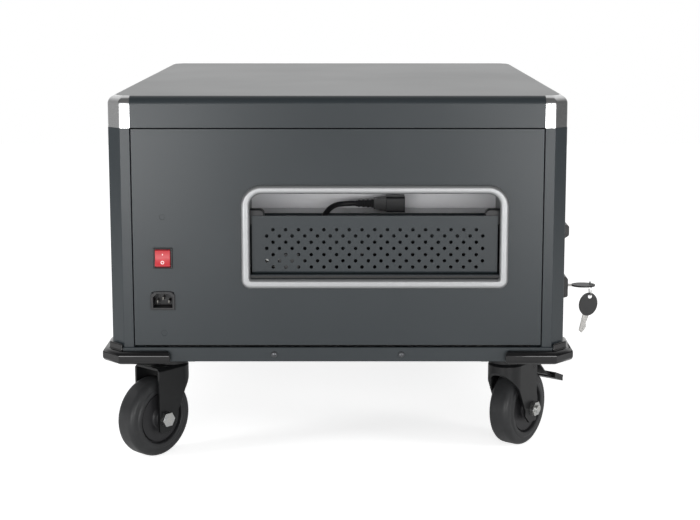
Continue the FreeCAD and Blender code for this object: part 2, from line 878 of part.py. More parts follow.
# Rocker switch: a snap-in housing and the red rocker that tilts in it
def rocker_switch():
    body = new_body("switch_housing")
    at = (d.switch_x, d.switch_z)
    pad(body, outline(draw(body), rectangle(*at, d.bezel_width, d.bezel_height)), d.bezel_proud)
    neck = rectangle(*at, d.bezel_width - d.bezel_lip, d.bezel_height - d.bezel_lip)
    pad(body, outline(draw(body), neck), d.switch_depth, reverse=True)
    soften(body, d.bezel_proud / 2, at_height(d.bezel_proud))
    well_wide = d.bezel_width - d.bezel_lip * 2
    well_tall = d.bezel_height - d.bezel_end * 2
    well = outline(draw(body, d.bezel_proud), rectangle(*at, well_wide, well_tall))
    pocket(body, well, d.bezel_proud + d.switch_depth - d.bezel_lip)
    keep(on_service_wall(body), "switch_housing")

    wide = well_wide - d.rocker_gap * 2
    swing = well_tall - d.rocker_gap * 2
    across = Rotation(Vector(0, 1, 0), 90)
    drum = rod("rocker_drum", swing, wide, -wide / 2, 0, 0, across)
    face = new_body("rocker_face")
    reach = swing / 2
    vee = [(-reach, -d.rocker_sink), (reach, -d.rocker_sink), (reach, d.rocker_rise + d.rocker_dip / 2),
           (0, d.rocker_rise - d.rocker_dip), (-reach, d.rocker_rise + d.rocker_dip / 2)]
    pad(face, outline(draw(face, 0, "YZ_Plane"), vee), wide, both=True)
    rocker = combine("Common", "rocker_form", drum, face)
    tilt = Rotation(Vector(1, 0, 0), 90 - float(d.rocker_throw) / 2)
    keep(place(rocker, d.switch_x, -half_y, d.switch_z, tilt), "switch_rocker")


# Mains inlet: a flanged socket with two cut corners and three flat pins
def mains_inlet():
    def shape(wide, tall, cut):
        x, z = d.inlet_x, d.inlet_z
        return [(x - wide / 2, z - tall / 2), (x + wide / 2, z - tall / 2),
                (x + wide / 2, z + tall / 2 - cut), (x + wide / 2 - cut, z + tall / 2),
                (x - wide / 2 + cut, z + tall / 2), (x - wide / 2, z + tall / 2 - cut)]

    body = new_body("inlet_socket")
    pad(body, outline(draw(body), shape(d.inlet_width, d.inlet_height, d.inlet_corner)), d.inlet_proud)
    wide = d.inlet_width - d.inlet_lip * 2
    tall = d.inlet_height - d.inlet_lip * 2
    shell = outline(draw(body), shape(wide, tall, d.inlet_corner))
    pad(body, shell, d.inlet_cavity + d.inlet_back, reverse=True)
    soften(body, d.inlet_proud / 2, at_height(d.inlet_proud))
    hollow = shape(wide - d.inlet_shell * 2, tall - d.inlet_shell * 2, d.inlet_corner)
    pocket(body, outline(draw(body, d.inlet_proud), hollow), d.inlet_proud + d.inlet_cavity)
    keep(on_service_wall(body), "inlet_socket")

    pins = []
    for side in (-1, 0, 1):
        x = d.inlet_x + d.pin_spread * side - d.pin_width / 2
        rise = d.pin_earth_rise * ((1 - abs(side)) - 0.5)
        z = d.inlet_z + rise - d.pin_height / 2
        y = -half_y + d.inlet_cavity - d.pin_length
        pins.append(block("inlet_pin", x, y, z, d.pin_width, d.pin_length, d.pin_height))
    group("inlet_pins", pins)


# Mains lead: connector on the ledge, a hank of loops in the tray and the plug beside it
lead_low = liner_floor + d.tray_gauge + d.lead_size / 2
lead_y = -half_y + d.lead_back
lead_right = d.lead_left + d.lead_run
connector_axis = d.liner_ledge + d.connector_tall / 2
connector_end = d.connector_x - d.connector_box - d.connector_taper - d.relief_length
plug_axis = liner_floor + d.tray_gauge + d.plug_tall / 2
plug_y = -half_y + d.tray_setback + d.tray_gauge + d.plug_wide / 2 + d.lead_room
hank_top = lead_low + d.lead_layer * (LEAD_LOOPS - 1)
hank_tail_x = d.lead_left - d.lead_fold - d.lead_size
tail_y = lead_y + d.lead_fold + d.lead_layer


def strain_relief(label, low):
    """A ribbed tail that thins towards the cord: ribs and necks in turn, along +Z."""
    steps = 2 * RELIEF_RIBS
    rings = []
    for n in range(steps):
        size = d.relief_large - (d.relief_large - d.relief_small) * (n / (steps - 1))
        if n % 2:
            size = size - d.relief_groove
        rise = low + d.relief_length / steps * n
        rings.append(prism("relief_ring", CORD_SIDES, size, d.relief_length / steps, 0, 0, rise))
    return joined(label, rings)


def moulded_end(label, wide, tall, box, taper):
    """A moulded connector: a soft-edged block that narrows to its strain relief, along +Z."""
    zero = as_size(0)
    body = new_body(f"{label}_block")
    pad(body, outline(draw(body), rectangle(zero, zero, wide, tall)), box)
    soften(body, d.connector_soft, upright)
    shoulder = d.relief_large + d.connector_soft
    front = rectangle(zero, zero, wide - d.connector_soft * 2, tall - d.connector_soft)
    first = outline(draw(body, box), front)
    last = outline(draw(body, box + taper), rectangle(zero, zero, shoulder, shoulder))
    loft = body.newObject("PartDesign::AdditiveLoft", "taper")
    loft.Profile = first
    loft.Sections = [last]
    loft.Ruled = True
    return body, strain_relief(f"{label}_relief", box + taper)


def connector():
    body, tail = moulded_end("connector", d.connector_wide, d.connector_tall,
                             d.connector_box, d.connector_taper)
    slots = draw(body)
    room = d.connector_slot_room
    for side in (-1, 0, 1):
        rise = d.pin_earth_rise * ((1 - abs(side)) - 0.5)
        hole = rectangle(d.pin_spread * side, rise, d.pin_width + room, d.pin_height + room)
        outline(slots, hole)
    pocket(body, slots, d.pin_length, reverse=True)
    whole = joined("connector_whole", [body, tail])
    lying = Rotation(Vector(0, -1, 0), Vector(0, 0, 1), Vector(-1, 0, 0), "ZYX")
    keep(place(whole, d.connector_x, d.connector_y, connector_axis, lying), "lead_connector")


def plug():
    body, tail = moulded_end("plug", d.plug_wide, d.plug_tall, d.plug_long, d.plug_taper)
    whole = joined("plug_whole", [body, tail])
    lying = Rotation(Vector(0, 1, 0), Vector(0, 0, 1), Vector(1, 0, 0), "ZYX")
    face_x = hank_tail_x - d.lead_drop_run - d.relief_length - d.plug_taper - d.plug_long
    keep(place(whole, face_x, plug_y, plug_axis, lying), "lead_plug")
    blades = []
    for side in (-1, 1):
        low_y = plug_y + d.blade_spread * side - d.blade_thick / 2
        low_z = plug_axis + d.blade_rise - d.blade_wide / 2
        blades.append(block("plug_blade", face_x - d.blade_length, low_y, low_z,
                            d.blade_length, d.blade_thick, d.blade_wide))
    pin_z = plug_axis - d.earth_drop
    forward = Rotation(Vector(0, -1, 0), 90)
    blades.append(rod("plug_earth", d.earth_size, d.earth_length, face_x, plug_y, pin_z, forward))
    group("lead_plug_pins", blades)


def s_bend(start, finish):
    """Two equal arcs that shift a run along X up, down or aside without a kink."""
    middle = (start + finish) / 2
    along = Vector(math.copysign(1, finish.x - start.x), 0, 0)
    arcs = []
    for first, last, ahead in ((start, middle, along), (finish, middle, -along)):
        chord = last - first
        lift = chord - ahead * chord.dot(ahead)
        normal = Vector(lift).normalize()
        radius = chord.dot(chord) / (2 * chord.dot(normal))
        centre = first + normal * radius
        half = centre + ((first - centre) + (last - centre)).normalize() * radius
        ends = (first, half, last) if first is start else (last, half, first)
        arcs.append(Part.Arc(*ends).toShape())
    return arcs


def tube(label, edges, start, ahead):
    """A cord of the lead's thickness, with a few flat sides, along a smooth run of edges."""
    path = Part.Wire(edges)
    radius = float(d.lead_size) / 2
    level = Vector(ahead).cross(Vector(0, 0, 1)).normalize()
    step = 360 / CORD_SIDES
    spokes = [Rotation(ahead, step * (n + 0.5)).multVec(level) for n in range(CORD_SIDES)]
    corners = [start + spoke * radius for spoke in spokes]
    ring = Part.makePolygon(corners + corners[:1])
    shape = path.makePipeShell([ring], True, False)
    section = CORD_SIDES / 2 * radius ** 2 * math.sin(math.radians(step))
    print(f"{label}: length {path.Length:.1f}, volume {shape.Volume:.0f} of {section * path.Length:.0f}")
    item = doc.addObject("Part::Feature", label)
    item.Shape = shape
    keep(item, label)
    return path


def lead_hank():
    """Flat loops laid on each other; each sinks to the next along its back run, the last turns aside."""
    left, right, fold = float(d.lead_left), float(lead_right), float(d.lead_fold)
    y, layer = float(lead_y), float(d.lead_layer)
    front, back = y - fold, y + fold
    top = float(hank_top)
    tail_x = float(hank_tail_x)
    plug_z = float(plug_axis)
    start = Vector(tail_x - float(d.lead_drop_run), float(plug_y), plug_z)
    straight = Vector(start.x + float(d.lead_size), start.y, plug_z)
    edges = [Part.LineSegment(start, straight).toShape()]
    edges += s_bend(straight, Vector(tail_x, front, top))
    edges.append(Part.LineSegment(Vector(tail_x, front, top), Vector(right, front, top)).toShape())
    for loop in range(LEAD_LOOPS):
        z = top - layer * loop
        turn = Part.Arc(Vector(right, front, z), Vector(right + fold, y, z), Vector(right, back, z))
        edges.append(turn.toShape())
        if loop == LEAD_LOOPS - 1:
            break
        edges += s_bend(Vector(right, back, z), Vector(left, back, z - layer))
        next_z = z - layer
        turn = Part.Arc(Vector(left, back, next_z), Vector(left - fold, y, next_z),
                        Vector(left, front, next_z))
        edges.append(turn.toShape())
        edges.append(Part.LineSegment(Vector(left, front, next_z), Vector(right, front, next_z)).toShape())
    low = float(lead_low)
    aside = Vector(right - float(d.lead_aside_run), float(tail_y), low)
    edges += s_bend(Vector(right, back, low), aside)
    edges.append(Part.LineSegment(aside, Vector(tail_x, float(tail_y), low)).toShape())
    path = tube("lead_hank", edges, start, Vector(1, 0, 0))
    report_gap(path)


def report_gap(path):
    """Print how near the hank comes to itself, measured on points along it."""
    count = int(path.Length / 4)
    points = path.discretize(Number=count)
    apart = int(float(d.lead_size) * 3 / 4) + 2
    least = min((points[i] - points[j]).Length for i in range(count) for j in range(i + apart, count))
    print(f"lead_hank: least gap to itself {least - float(d.lead_size):.2f}")


def lead_route():
    """Corner points of the free stretch from the hank's tail up to the connector."""
    tail = Vector(float(hank_tail_x), float(tail_y), float(lead_low))
    exit_point = Vector(float(connector_end), float(d.connector_y), float(connector_axis))
    between = [Vector(12, tail.y, tail.z), Vector(-12, -284, 250), Vector(-27, -289, 266),
               Vector(-30, -290, 287), Vector(-24, -281.5, 306), Vector(-10, -267.5, 316.5),
               Vector(5, exit_point.y, exit_point.z)]
    return [tail] + between + [exit_point]


def lead_cord():
    route = lead_route()
    edges, radii = [], []
    spot = route[0]
    for before, corner, after in zip(route, route[1:], route[2:]):
        back, ahead = before - corner, after - corner
        turn = math.pi - back.getAngle(ahead)
        reach = 0.45 * min(back.Length, ahead.Length)
        radius = reach / math.tan(turn / 2)
        radii.append(round(radius / float(d.lead_size), 1))
        first = corner + Vector(back).normalize() * reach
        last = corner + Vector(ahead).normalize() * reach
        inward = (Vector(back).normalize() + Vector(ahead).normalize()).normalize()
        centre = corner + inward * math.hypot(radius, reach)
        edges.append(Part.LineSegment(spot, first).toShape())
        edges.append(Part.Arc(first, centre - inward * radius, last).toShape())
        spot = last
    edges.append(Part.LineSegment(spot, route[-1]).toShape())
    print("lead_cord: bend radii in diameters", radii)
    tube("lead_cord", edges, route[0], route[1] - route[0])


# Castors: a fixed top plate with its king pin, a swivelling pressed fork, an axle bolt and a wheel
fork_under = d.fork_top - d.fork_gauge
fork_half = d.fork_gap / 2 + d.fork_gauge
wheel_radius = d.wheel_size / 2
plate_low = d.caster_height - d.plate_gauge


def at_caster(item, name, along=0, rise=0):
    """Put a castor's piece at its corner, turned to the castor's heading."""
    heading = math.radians(CASTER_HEADINGS[name])
    side_x, side_y = corner_sides(name)
    x = d.caster_x * side_x + along * math.cos(heading)
    y = d.caster_y * side_y + along * math.sin(heading)
    return place(item, x, y, as_size(rise), Rotation(Vector(0, 0, 1), math.degrees(heading)))


def corner_sides(name):
    """On which side of the plan's middle a castor stands, along X and along Y."""
    return (1 if name.endswith("door") else -1), (-1 if name.startswith("service") else 1)


def caster_plate(name):
    """A bolted plate, the ball race pressed into it and the king pin riveted under the fork."""
    body = new_body("caster_plate")
    zero = as_size(0)
    plate = draw(body, plate_low)
    outline(plate, octagon(d.plate_size / 2, d.plate_size / 2, d.plate_corner))
    for step_x in (-0.5, 0.5):
        for step_y in (-0.5, 0.5):
            hole_x, hole_y = d.bolt_spread * step_x, d.bolt_spread * step_y
            outline(plate, small_hole(hole_x, hole_y, d.bolt_size + d.bolt_fit * 2, BOLT_SIDES))
    pad(body, plate, d.plate_gauge)
    race_low = d.fork_top + d.swivel_gap
    head_high = fork_under - d.swivel_gap
    pin_low = head_high - d.king_head_height
    pin, head, rim = d.king_pin / 2, d.king_head / 2, d.race_size / 2
    profile = [(zero, plate_low), (zero, pin_low), (head, pin_low), (head, head_high), (pin, head_high),
               (pin, race_low), (rim, race_low), (rim, plate_low)]
    spin(body, outline(draw(body, 0, "XZ_Plane"), profile))
    side_x, side_y = corner_sides(name)
    return place(body, d.caster_x * side_x, d.caster_y * side_y, 0)


def caster_fork(name, braked):
    label = f"caster_fork_{name}"
    body = new_body(label)
    foot = wheel_radius - d.fork_boss
    hood = draw(body, foot)
    hood_plan(hood, fork_half, d.fork_tail)
    pad(body, hood, d.fork_top - foot)
    level = at_height(d.fork_top)
    rim_y = float(d.fork_gap) / 2

    def outer_rim(edge):
        box = edge.BoundBox
        return level(edge) and box.XMin < float(d.fork_tail) - OVERCUT and max(-box.YMin, box.YMax) > rim_y

    bevel(body, d.fork_bend, outer_rim)
    hollow = draw(body, foot - OVERCUT)
    hood_plan(hollow, d.fork_gap / 2, d.fork_tail + OVERCUT)
    pocket(body, hollow, fork_under - foot + OVERCUT, reverse=True)
    side = draw(body, 0, "XZ_Plane")
    reach = fork_half + OVERCUT
    boss = d.fork_boss
    cut = boss * DIAGONAL
    brow = d.fork_top - d.fork_brow
    over = d.fork_top + OVERCUT
    outline(side, [(-reach, foot - OVERCUT), (d.trail + boss + reach, foot - OVERCUT),
                   (d.trail + boss + reach, over), (-reach, over)])
    outline(side, [(-reach + OVERCUT / 2, over - OVERCUT / 2), (-reach + OVERCUT / 2, brow),
                   (-d.fork_throat_x, wheel_radius + d.fork_throat_rise, boss),
                   (d.trail - boss, wheel_radius), (d.trail - boss, foot + cut),
                   (d.trail - boss + cut, foot), (d.trail + boss - cut, foot),
                   (d.trail + boss, foot + cut), (d.trail + boss, wheel_radius),
                   (d.fork_tail, over - OVERCUT / 2)])
    pocket(body, side, d.fork_gap * 2, both=True)
    bores = draw(body, 0, "XZ_Plane")
    circle(bores, d.trail, wheel_radius, d.axle_size + d.axle_fit * 2)
    if braked:
        circle(bores, d.brake_x, d.brake_z, d.brake_pin + d.axle_fit * 2)
    pocket(body, bores, d.fork_gap * 2, both=True)
    king = draw(body, d.fork_top + OVERCUT)
    circle(king, 0, 0, d.king_pin + d.king_fit * 2)
    pocket(body, king, d.fork_gauge + OVERCUT * 2)
    keep(at_caster(body, name), label)


def hood_plan(drawing, half, tail):
    """Plan of the fork: straight sides that close in a half circle about the swivel axis."""
    r = float(half)
    end = float(tail)
    side_a = drawing.addGeometry(Part.LineSegment(Vector(0, -r, 0), Vector(end, -r, 0)), False)
    back = drawing.addGeometry(Part.LineSegment(Vector(end, -r, 0), Vector(end, r, 0)), False)
    side_b = drawing.addGeometry(Part.LineSegment(Vector(end, r, 0), Vector(0, r, 0)), False)
    ring = Part.Circle(Vector(0, 0, 0), Vector(0, 0, 1), r)
    nose = drawing.addGeometry(Part.ArcOfCircle(ring, math.pi / 2, 3 * math.pi / 2), False)
    for first, second in ((side_a, back), (back, side_b)):
        drawing.addConstraint(Sketcher.Constraint("Coincident", first, 2, second, 1))
    drawing.addConstraint(Sketcher.Constraint("Coincident", side_b, 2, nose, 1))
    drawing.addConstraint(Sketcher.Constraint("Coincident", nose, 2, side_a, 1))
    fix_point(drawing, side_a, 1, 0, -half)
    fix_point(drawing, back, 1, tail, -half)
    fix_point(drawing, side_b, 1, tail, half)
    fix_point(drawing, nose, 1, 0, half)
    drawing.addConstraint(Sketcher.Constraint("PointOnObject", nose, 3, -2))


def caster_axle(name):
    """The axle bolt with its hexagon head on one side and its nut on the other."""
    label = f"caster_axle_{name}"
    cross = Rotation(Vector(1, 0, 0), 90)
    shank = rod("axle_shank", d.axle_size, fork_half * 2, 0, fork_half, 0, cross)
    head = hexagon("axle_head", d.axle_head, d.axle_head_height, 0, fork_half + d.axle_head_height, 0, cross)
    nut = hexagon("axle_nut", d.axle_head, d.axle_head_height, 0, -fork_half, 0, cross)
    end = rod("axle_end", d.axle_size, d.axle_head_height + d.axle_end, 0, -fork_half, 0, cross)
    whole = joined("axle_bolt", [shank, head, nut, end])
    keep(at_caster(whole, name, d.trail, wheel_radius), label)


def caster_wheel(name):
    core = new_body(f"caster_core_{name}")
    bore = d.axle_size / 2 + d.axle_fit
    disc = d.wheel_width / 2 - d.disc_sink
    rim = d.core_size / 2
    hub = d.hub_size / 2
    half = [(bore, d.hub_width / 2), (hub, d.hub_width / 2), (hub + d.hub_flare, disc), (rim, disc)]
    other = [(x, -y) for x, y in reversed(half)]
    spin(core, outline(draw(core), half + other))
    keep(at_caster(core, name, d.trail, wheel_radius), f"caster_core_{name}")

    tyre = new_body(f"caster_tyre_{name}")
    side = d.wheel_width / 2
    half = [(rim, side), (wheel_radius - d.tyre_shoulder, side), (wheel_radius, d.tread_width / 2)]
    other = [(x, -y) for x, y in reversed(half)]
    spin(tyre, outline(draw(tyre), half + other))
    keep(at_caster(tyre, name, d.trail, wheel_radius), f"caster_tyre_{name}")


def caster_brake(name):
    """A pressed pedal, pivoted in the fork, that dips behind the wheel and flares to a foot plate."""
    x, z, gauge = d.brake_x, d.brake_z, d.brake_gauge
    tip_x = d.trail + wheel_radius + d.brake_overhang
    knee = (x + d.brake_shelf, z - gauge / 2)
    heel = (knee[0] + d.brake_dip_run, knee[1] - d.brake_dip)
    tip_z = heel[1] - d.brake_foot_drop
    soft = d.brake_soft
    arm = new_body("brake_arm")
    upper = [(x, z + gauge / 2), knee + (soft,), heel + (soft,), (tip_x, tip_z)]
    lower = [(tip_x, tip_z - gauge), (heel[0], heel[1] - gauge, soft), (knee[0], knee[1] - gauge, soft),
             (x, z - gauge / 2)]
    pad(arm, outline(draw(arm, 0, "XZ_Plane"), upper + lower), d.brake_width, both=True)
    foot = new_body("brake_foot")
    slope = (heel[1] - tip_z) / (tip_x - heel[0])
    sole_x = tip_x - d.brake_foot_long
    sole_z = tip_z + slope * d.brake_foot_long
    thick = gauge * d.brake_foot_share
    sole = [(sole_x, sole_z), (tip_x, tip_z), (tip_x, tip_z - thick), (sole_x, sole_z - thick)]
    pad(foot, outline(draw(foot, 0, "XZ_Plane"), sole), d.brake_tip_width, both=True)
    cross = Rotation(Vector(1, 0, 0), 90)
    hub = rod("brake_hub", d.brake_hub, d.brake_width, x, d.brake_width / 2, z, cross)
    pin = rod("brake_pin", d.brake_pin, fork_half * 2, x, fork_half, z, cross)
    whole = joined("brake_pedal", [arm, foot, hub, pin])
    keep(at_caster(whole, name), f"caster_brake_{name}")


def caster_bolts():
    head = hexagon("bolt_head", d.bolt_head, d.bolt_head_height, 0, 0, plate_low - d.bolt_head_height)
    nut = hexagon("bolt_nut", d.bolt_head, d.bolt_head_height, 0, 0, floor_top)
    shank = prism("bolt_shank", BOLT_SIDES, d.bolt_size, floor_top - plate_low, 0, 0, plate_low)
    bolt = joined("caster_bolt", [head, shank, nut])
    spots = [Vector(float(x), float(y), 0) for x, y in bolt_spots()]
    repeated("caster_bolts", bolt, [Placement(spot, Rotation()) for spot in spots])


# Door on lift-off hinges, with its pull and cam lock
hinge_x = half_x + d.hinge_size / 2 + d.hinge_gap
hinge_y = post_edge_y - d.seam / 2
lock_axis = Rotation(Vector(0, 1, 0), 90)
lock_face = d.pull_proud + d.barrel_face


def door():
    body = folded_panel("door_panel", post_edge_y - d.seam)
    hole = draw(body)
    circle(hole, d.lock_y, d.lock_z, d.barrel_size + d.base_fit * 2)
    pocket(body, hole, d.sheet_gauge + OVERCUT)
    keep(on_door_wall(body), "door_panel")


def hinge_half(label, low, toward):
    """A knuckle and its flat leaf, bored for the pin; the leaf lies on the post or on the door."""
    body = new_body(label)
    leaf_in = d.hinge_size / 2 + d.hinge_gap
    plan = draw(body)
    leaf = [(-leaf_in, 0), (-leaf_in + d.hinge_leaf_gauge, 0),
            (-leaf_in + d.hinge_leaf_gauge, d.hinge_leaf * toward), (-leaf_in, d.hinge_leaf * toward)]
    pad(body, outline(plan, leaf), d.hinge_knuckle)
    pad(body, circle(draw(body), 0, 0, d.hinge_size), d.hinge_knuckle)
    bore = circle(draw(body, -OVERCUT), 0, 0, d.hinge_pin + d.hinge_fit * 2)
    pocket(body, bore, d.hinge_knuckle + OVERCUT * 2, reverse=True)
    return place(body, hinge_x, hinge_y, low)


def hinges():
    fixed, moving, pins = [], [], []
    for height in (d.hinge_low, d.hinge_high):
        fixed.append(hinge_half("post_knuckle", height, 1))
        upper = height + d.hinge_knuckle + d.hinge_gap
        moving.append(hinge_half("door_knuckle", upper, -1))
        stem = rod("hinge_stem", d.hinge_pin, d.hinge_knuckle * 2 + d.hinge_gap, hinge_x, hinge_y, height)
        pins.append(stem)
    group("hinge_post_leaves", fixed)
    group("hinge_door_leaves", moving)
    group("hinge_pins", pins)


def pull_and_lock():
    body = new_body("door_pull")
    low, high, proud = d.pull_low, d.pull_high, d.pull_proud
    soft = d.pull_soft
    side = [(low, 0), (low + soft, proud, soft), (low + d.pull_foot + soft, proud, soft),
            (low + d.pull_foot + proud - d.pull_waist, d.pull_waist, soft * 2),
            (high - d.pull_head - proud + d.pull_waist, d.pull_waist, soft * 2),
            (high - d.pull_head - soft, proud, soft), (high - soft, proud, soft), (high, 0)]
    pad(body, outline(draw(body, d.lock_y, "YZ_Plane"), side), d.pull_wide, both=True)
    bore = circle(draw(body, lock_face), d.lock_y, d.lock_z, d.barrel_size + d.base_fit * 2)
    pocket(body, bore, lock_face + OVERCUT)
    keep(on_door_wall(body), "door_pull")

    barrel = rod("barrel_body", d.barrel_size, lock_face + d.barrel_inside,
                 half_x - d.barrel_inside, d.lock_y, d.lock_z, lock_axis)
    flange = hexagon("barrel_nut", d.barrel_nut, d.bolt_head_height,
                     half_x - d.sheet_gauge - d.bolt_head_height, d.lock_y, d.lock_z, lock_axis)
    tunnel = rod("barrel_bore", d.plug_size + d.plug_fit * 2, lock_face + d.barrel_inside + OVERCUT * 2,
                 half_x - d.barrel_inside - OVERCUT, d.lock_y, d.lock_z, lock_axis)
    keep(combine("Cut", "lock_barrel", joined("barrel_whole", [barrel, flange]), tunnel), "lock_barrel")

    plug_long = d.plug_inside + lock_face + d.barrel_face
    core = rod("plug_core", d.plug_size, plug_long, half_x - d.plug_inside, d.lock_y, d.lock_z, lock_axis)
    fit = d.key_slot_fit
    slot_deep = d.key_blade_long - d.key_head_gap
    slot = block("key_slot", half_x + lock_face + d.barrel_face - slot_deep - fit,
                 d.lock_y - d.key_blade_wide / 2 - fit, d.lock_z - d.key_blade_thick / 2 - fit,
                 slot_deep + OVERCUT, d.key_blade_wide + fit * 2, d.key_blade_thick + fit * 2)
    keep(combine("Cut", "lock_plug", core, slot), "lock_plug")

    cam = new_body("lock_cam")
    half = d.cam_width / 2
    soft = half - d.cam_gauge / 4
    arm = [(-half, -half, soft), (half, -half, soft), (half, d.cam_length, soft), (-half, d.cam_length, soft)]
    pad(cam, outline(draw(cam), arm), d.cam_gauge)
    facing = Rotation(Vector(0, 0, 1), 90).multiply(Rotation(Vector(1, 0, 0), 90))
    keep(place(cam, half_x - d.plug_inside - d.cam_gauge, d.lock_y, d.lock_z, facing), "lock_cam")


def key_form(label):
    """A key lying flat: its blade points to -X and its oval head to +X."""
    blade = new_body(f"{label}_blade")
    half = d.key_blade_wide / 2
    wards = d.key_blade_wide / 6
    step = d.key_blade_long / 5
    tip = -d.key_blade_long
    under = [(tip + step * n, -half + wards * (n % 2)) for n in range(1, 4)]
    shape = [(tip, 0)] + under + [(0, -half), (d.key_head_gap, -half), (d.key_head_gap, half)]
    shape.append((tip + step / 2, half))
    pad(blade, outline(draw(blade), shape), d.key_blade_thick, both=True)
    head = doc.addObject("Part::Ellipse", f"{label}_oval")
    bind(head, "MajorRadius", d.key_head_long / 2)
    bind(head, "MinorRadius", d.key_head_wide / 2)
    disc = doc.addObject("Part::Extrusion", f"{label}_disc")
    disc.Base = head
    disc.Dir = Vector(0, 0, 1)
    disc.DirMode = "Custom"
    disc.Solid = True
    disc.Symmetric = True
    bind(disc, "LengthFwd", d.key_head_thick)
    middle = d.key_head_long / 2
    place(disc, middle, 0, 0)
    return blade, disc


def keys():
    hole_x = d.key_head_long - d.key_hole_edge
    head_start = half_x + lock_face + d.barrel_face + d.key_head_gap
    flat = d.key_head_thick
    for label in ("key", "spare_key"):
        blade, disc = key_form(label)
        whole = joined(f"{label}_blank", [blade, disc])
        hole = rod(f"{label}_hole", d.key_hole, flat + OVERCUT * 2, hole_x, 0, -flat / 2 - OVERCUT)
        cut = combine("Cut", f"{label}_cut", whole, hole)
        if label == "key":
            keep(place(cut, head_start, d.lock_y, d.lock_z), "key")
            continue
        pivot_x = head_start + hole_x
        pivot_y = d.lock_y + d.ring_side
        ring_z = d.lock_z - flat / 2 - d.ring_drop
        wire_z = ring_z - d.ring_size / 2
        hang = wire_z - d.key_hole / 2 + d.ring_wire / 2 + d.swivel_gap
        down = Rotation(Vector(0, 1, 0), -90 + float(d.spare_tilt))
        face_on = down.multiply(Rotation(Vector(1, 0, 0), 90))
        eye = face_on.multVec(Vector(float(hole_x), 0, 0))
        keep(place(cut, pivot_x - eye.x, pivot_y, hang - eye.z, face_on), "spare_key")
    ring = new_body("ring")
    wire = rectangle(d.ring_size / 2, as_size(0), d.ring_wire, d.ring_wire)
    spin(ring, outline(draw(ring, 0, "XZ_Plane"), wire))
    keep(place(ring, pivot_x, pivot_y, ring_z, lock_axis), "key_ring")


# Inside: the bulkhead behind the pocket, the keeper, the device rack and the socket rail
bulkhead_y = -half_y + d.pocket_depth + d.liner_gauge


def bulkhead():
    body = new_body("service_bulkhead")
    gauge, fold = d.sheet_gauge, d.bulkhead_fold
    wide = d.bulkhead_front + d.bulkhead_back
    middle = (d.bulkhead_front - d.bulkhead_back) / 2
    section = [(0, floor_top), (fold, floor_top), (fold, floor_top + gauge), (gauge, floor_top + gauge),
               (gauge, rim_low - gauge), (fold, rim_low - gauge), (fold, rim_low), (0, rim_low)]
    pad(body, outline(draw(body, middle, "YZ_Plane"), section), wide, both=True)
    keep(place(body, 0, bulkhead_y, 0), "service_bulkhead")

    keeper = new_body("lock_keeper")
    thick = d.keeper_gauge
    front = half_x - d.plug_inside + d.keeper_clear + thick
    back = d.bulkhead_front - d.bulkhead_fold
    shelf = d.lock_z - d.cam_width / 2 - d.keeper_drop
    catch = [(back, shelf - thick), (front, shelf - thick), (front, shelf + d.keeper_height),
             (front - thick, shelf + d.keeper_height), (front - thick, shelf), (back, shelf)]
    pad(keeper, outline(draw(keeper, 0, "XZ_Plane"), catch), d.keeper_reach)
    tab = [(back, shelf - d.keeper_tab), (d.bulkhead_front, shelf - d.keeper_tab),
           (d.bulkhead_front, shelf - thick), (back, shelf - thick)]
    pad(keeper, outline(draw(keeper, 0, "XZ_Plane"), tab), thick)
    keep(place(keeper, 0, bulkhead_y, 0), "lock_keeper")


rack_low_y = bulkhead_y + d.bulkhead_fold + d.rack_gauge


def device_rack():
    base = new_body("rack_base")
    gauge = d.rack_gauge
    span = d.divider_pitch * (DIVIDERS + 1)
    tray = [(d.rack_front, 0), (d.rack_front - d.rack_long, 0), (d.rack_front - d.rack_long, d.rack_lip),
            (d.rack_front - d.rack_long + gauge, d.rack_lip), (d.rack_front - d.rack_long + gauge, gauge),
            (d.rack_front, gauge)]
    pad(base, outline(draw(base, 0, "XZ_Plane"), tray), span, reverse=True)
    keep(place(base, 0, rack_low_y, floor_top), "rack_base")

    divider = new_body("rack_divider")
    back = d.rack_front - d.rack_long + gauge + d.base_fit
    top = d.divider_height
    notch = d.divider_notch
    side = [(back, 0), (d.rack_front, 0), (d.rack_front, top - notch),
            (d.rack_front - notch, top - notch), (d.rack_front - notch - d.divider_lean, top), (back, top)]
    pad(divider, outline(draw(divider, 0, "XZ_Plane"), side), gauge, both=True)
    low = float(floor_top + gauge)
    first = float(rack_low_y)
    pitch = float(d.divider_pitch)
    spots = [Vector(0, first + pitch * n, low) for n in range(1, DIVIDERS + 1)]
    repeated("rack_dividers", divider, [Placement(spot, Rotation()) for spot in spots])


def socket_rail():
    """A power rail on the back panel with a row of flush outlets facing the devices."""
    body = new_body("socket_rail")
    rail = rectangle(as_size(0), d.rail_low + d.rail_tall / 2, d.rail_long, d.rail_tall)
    pad(body, outline(draw(body), rail), d.rail_deep)
    face = at_height(d.rail_deep)
    soften(body, d.rail_soft, lambda edge: face(edge) and edge.BoundBox.XLength > float(d.rail_tall))
    slots = draw(body, d.rail_deep)
    left = -d.outlet_pitch * ((OUTLETS - 1) / 2)
    middle = d.rail_low + d.rail_tall / 2
    for n in range(OUTLETS):
        x = left + d.outlet_pitch * n
        for side in (-1, 1):
            slot_x = x + d.blade_spread * side
            slot_z = middle + d.blade_rise
            slot = rectangle(slot_x, slot_z, d.blade_thick + d.outlet_room, d.blade_wide + d.outlet_room)
            outline(slots, slot)
        outline(slots, rectangle(x, middle - d.earth_drop, d.earth_size, d.earth_size))
    pocket(body, slots, d.outlet_sink)
    inward = Rotation(Vector(0, 0, 1), 90).multiply(Rotation(Vector(1, 0, 0), 90))
    middle_y = rack_low_y + d.divider_pitch * ((DIVIDERS + 1) / 2)
    keep(place(body, -half_x + d.sheet_gauge, middle_y, 0, inward), "socket_rail")


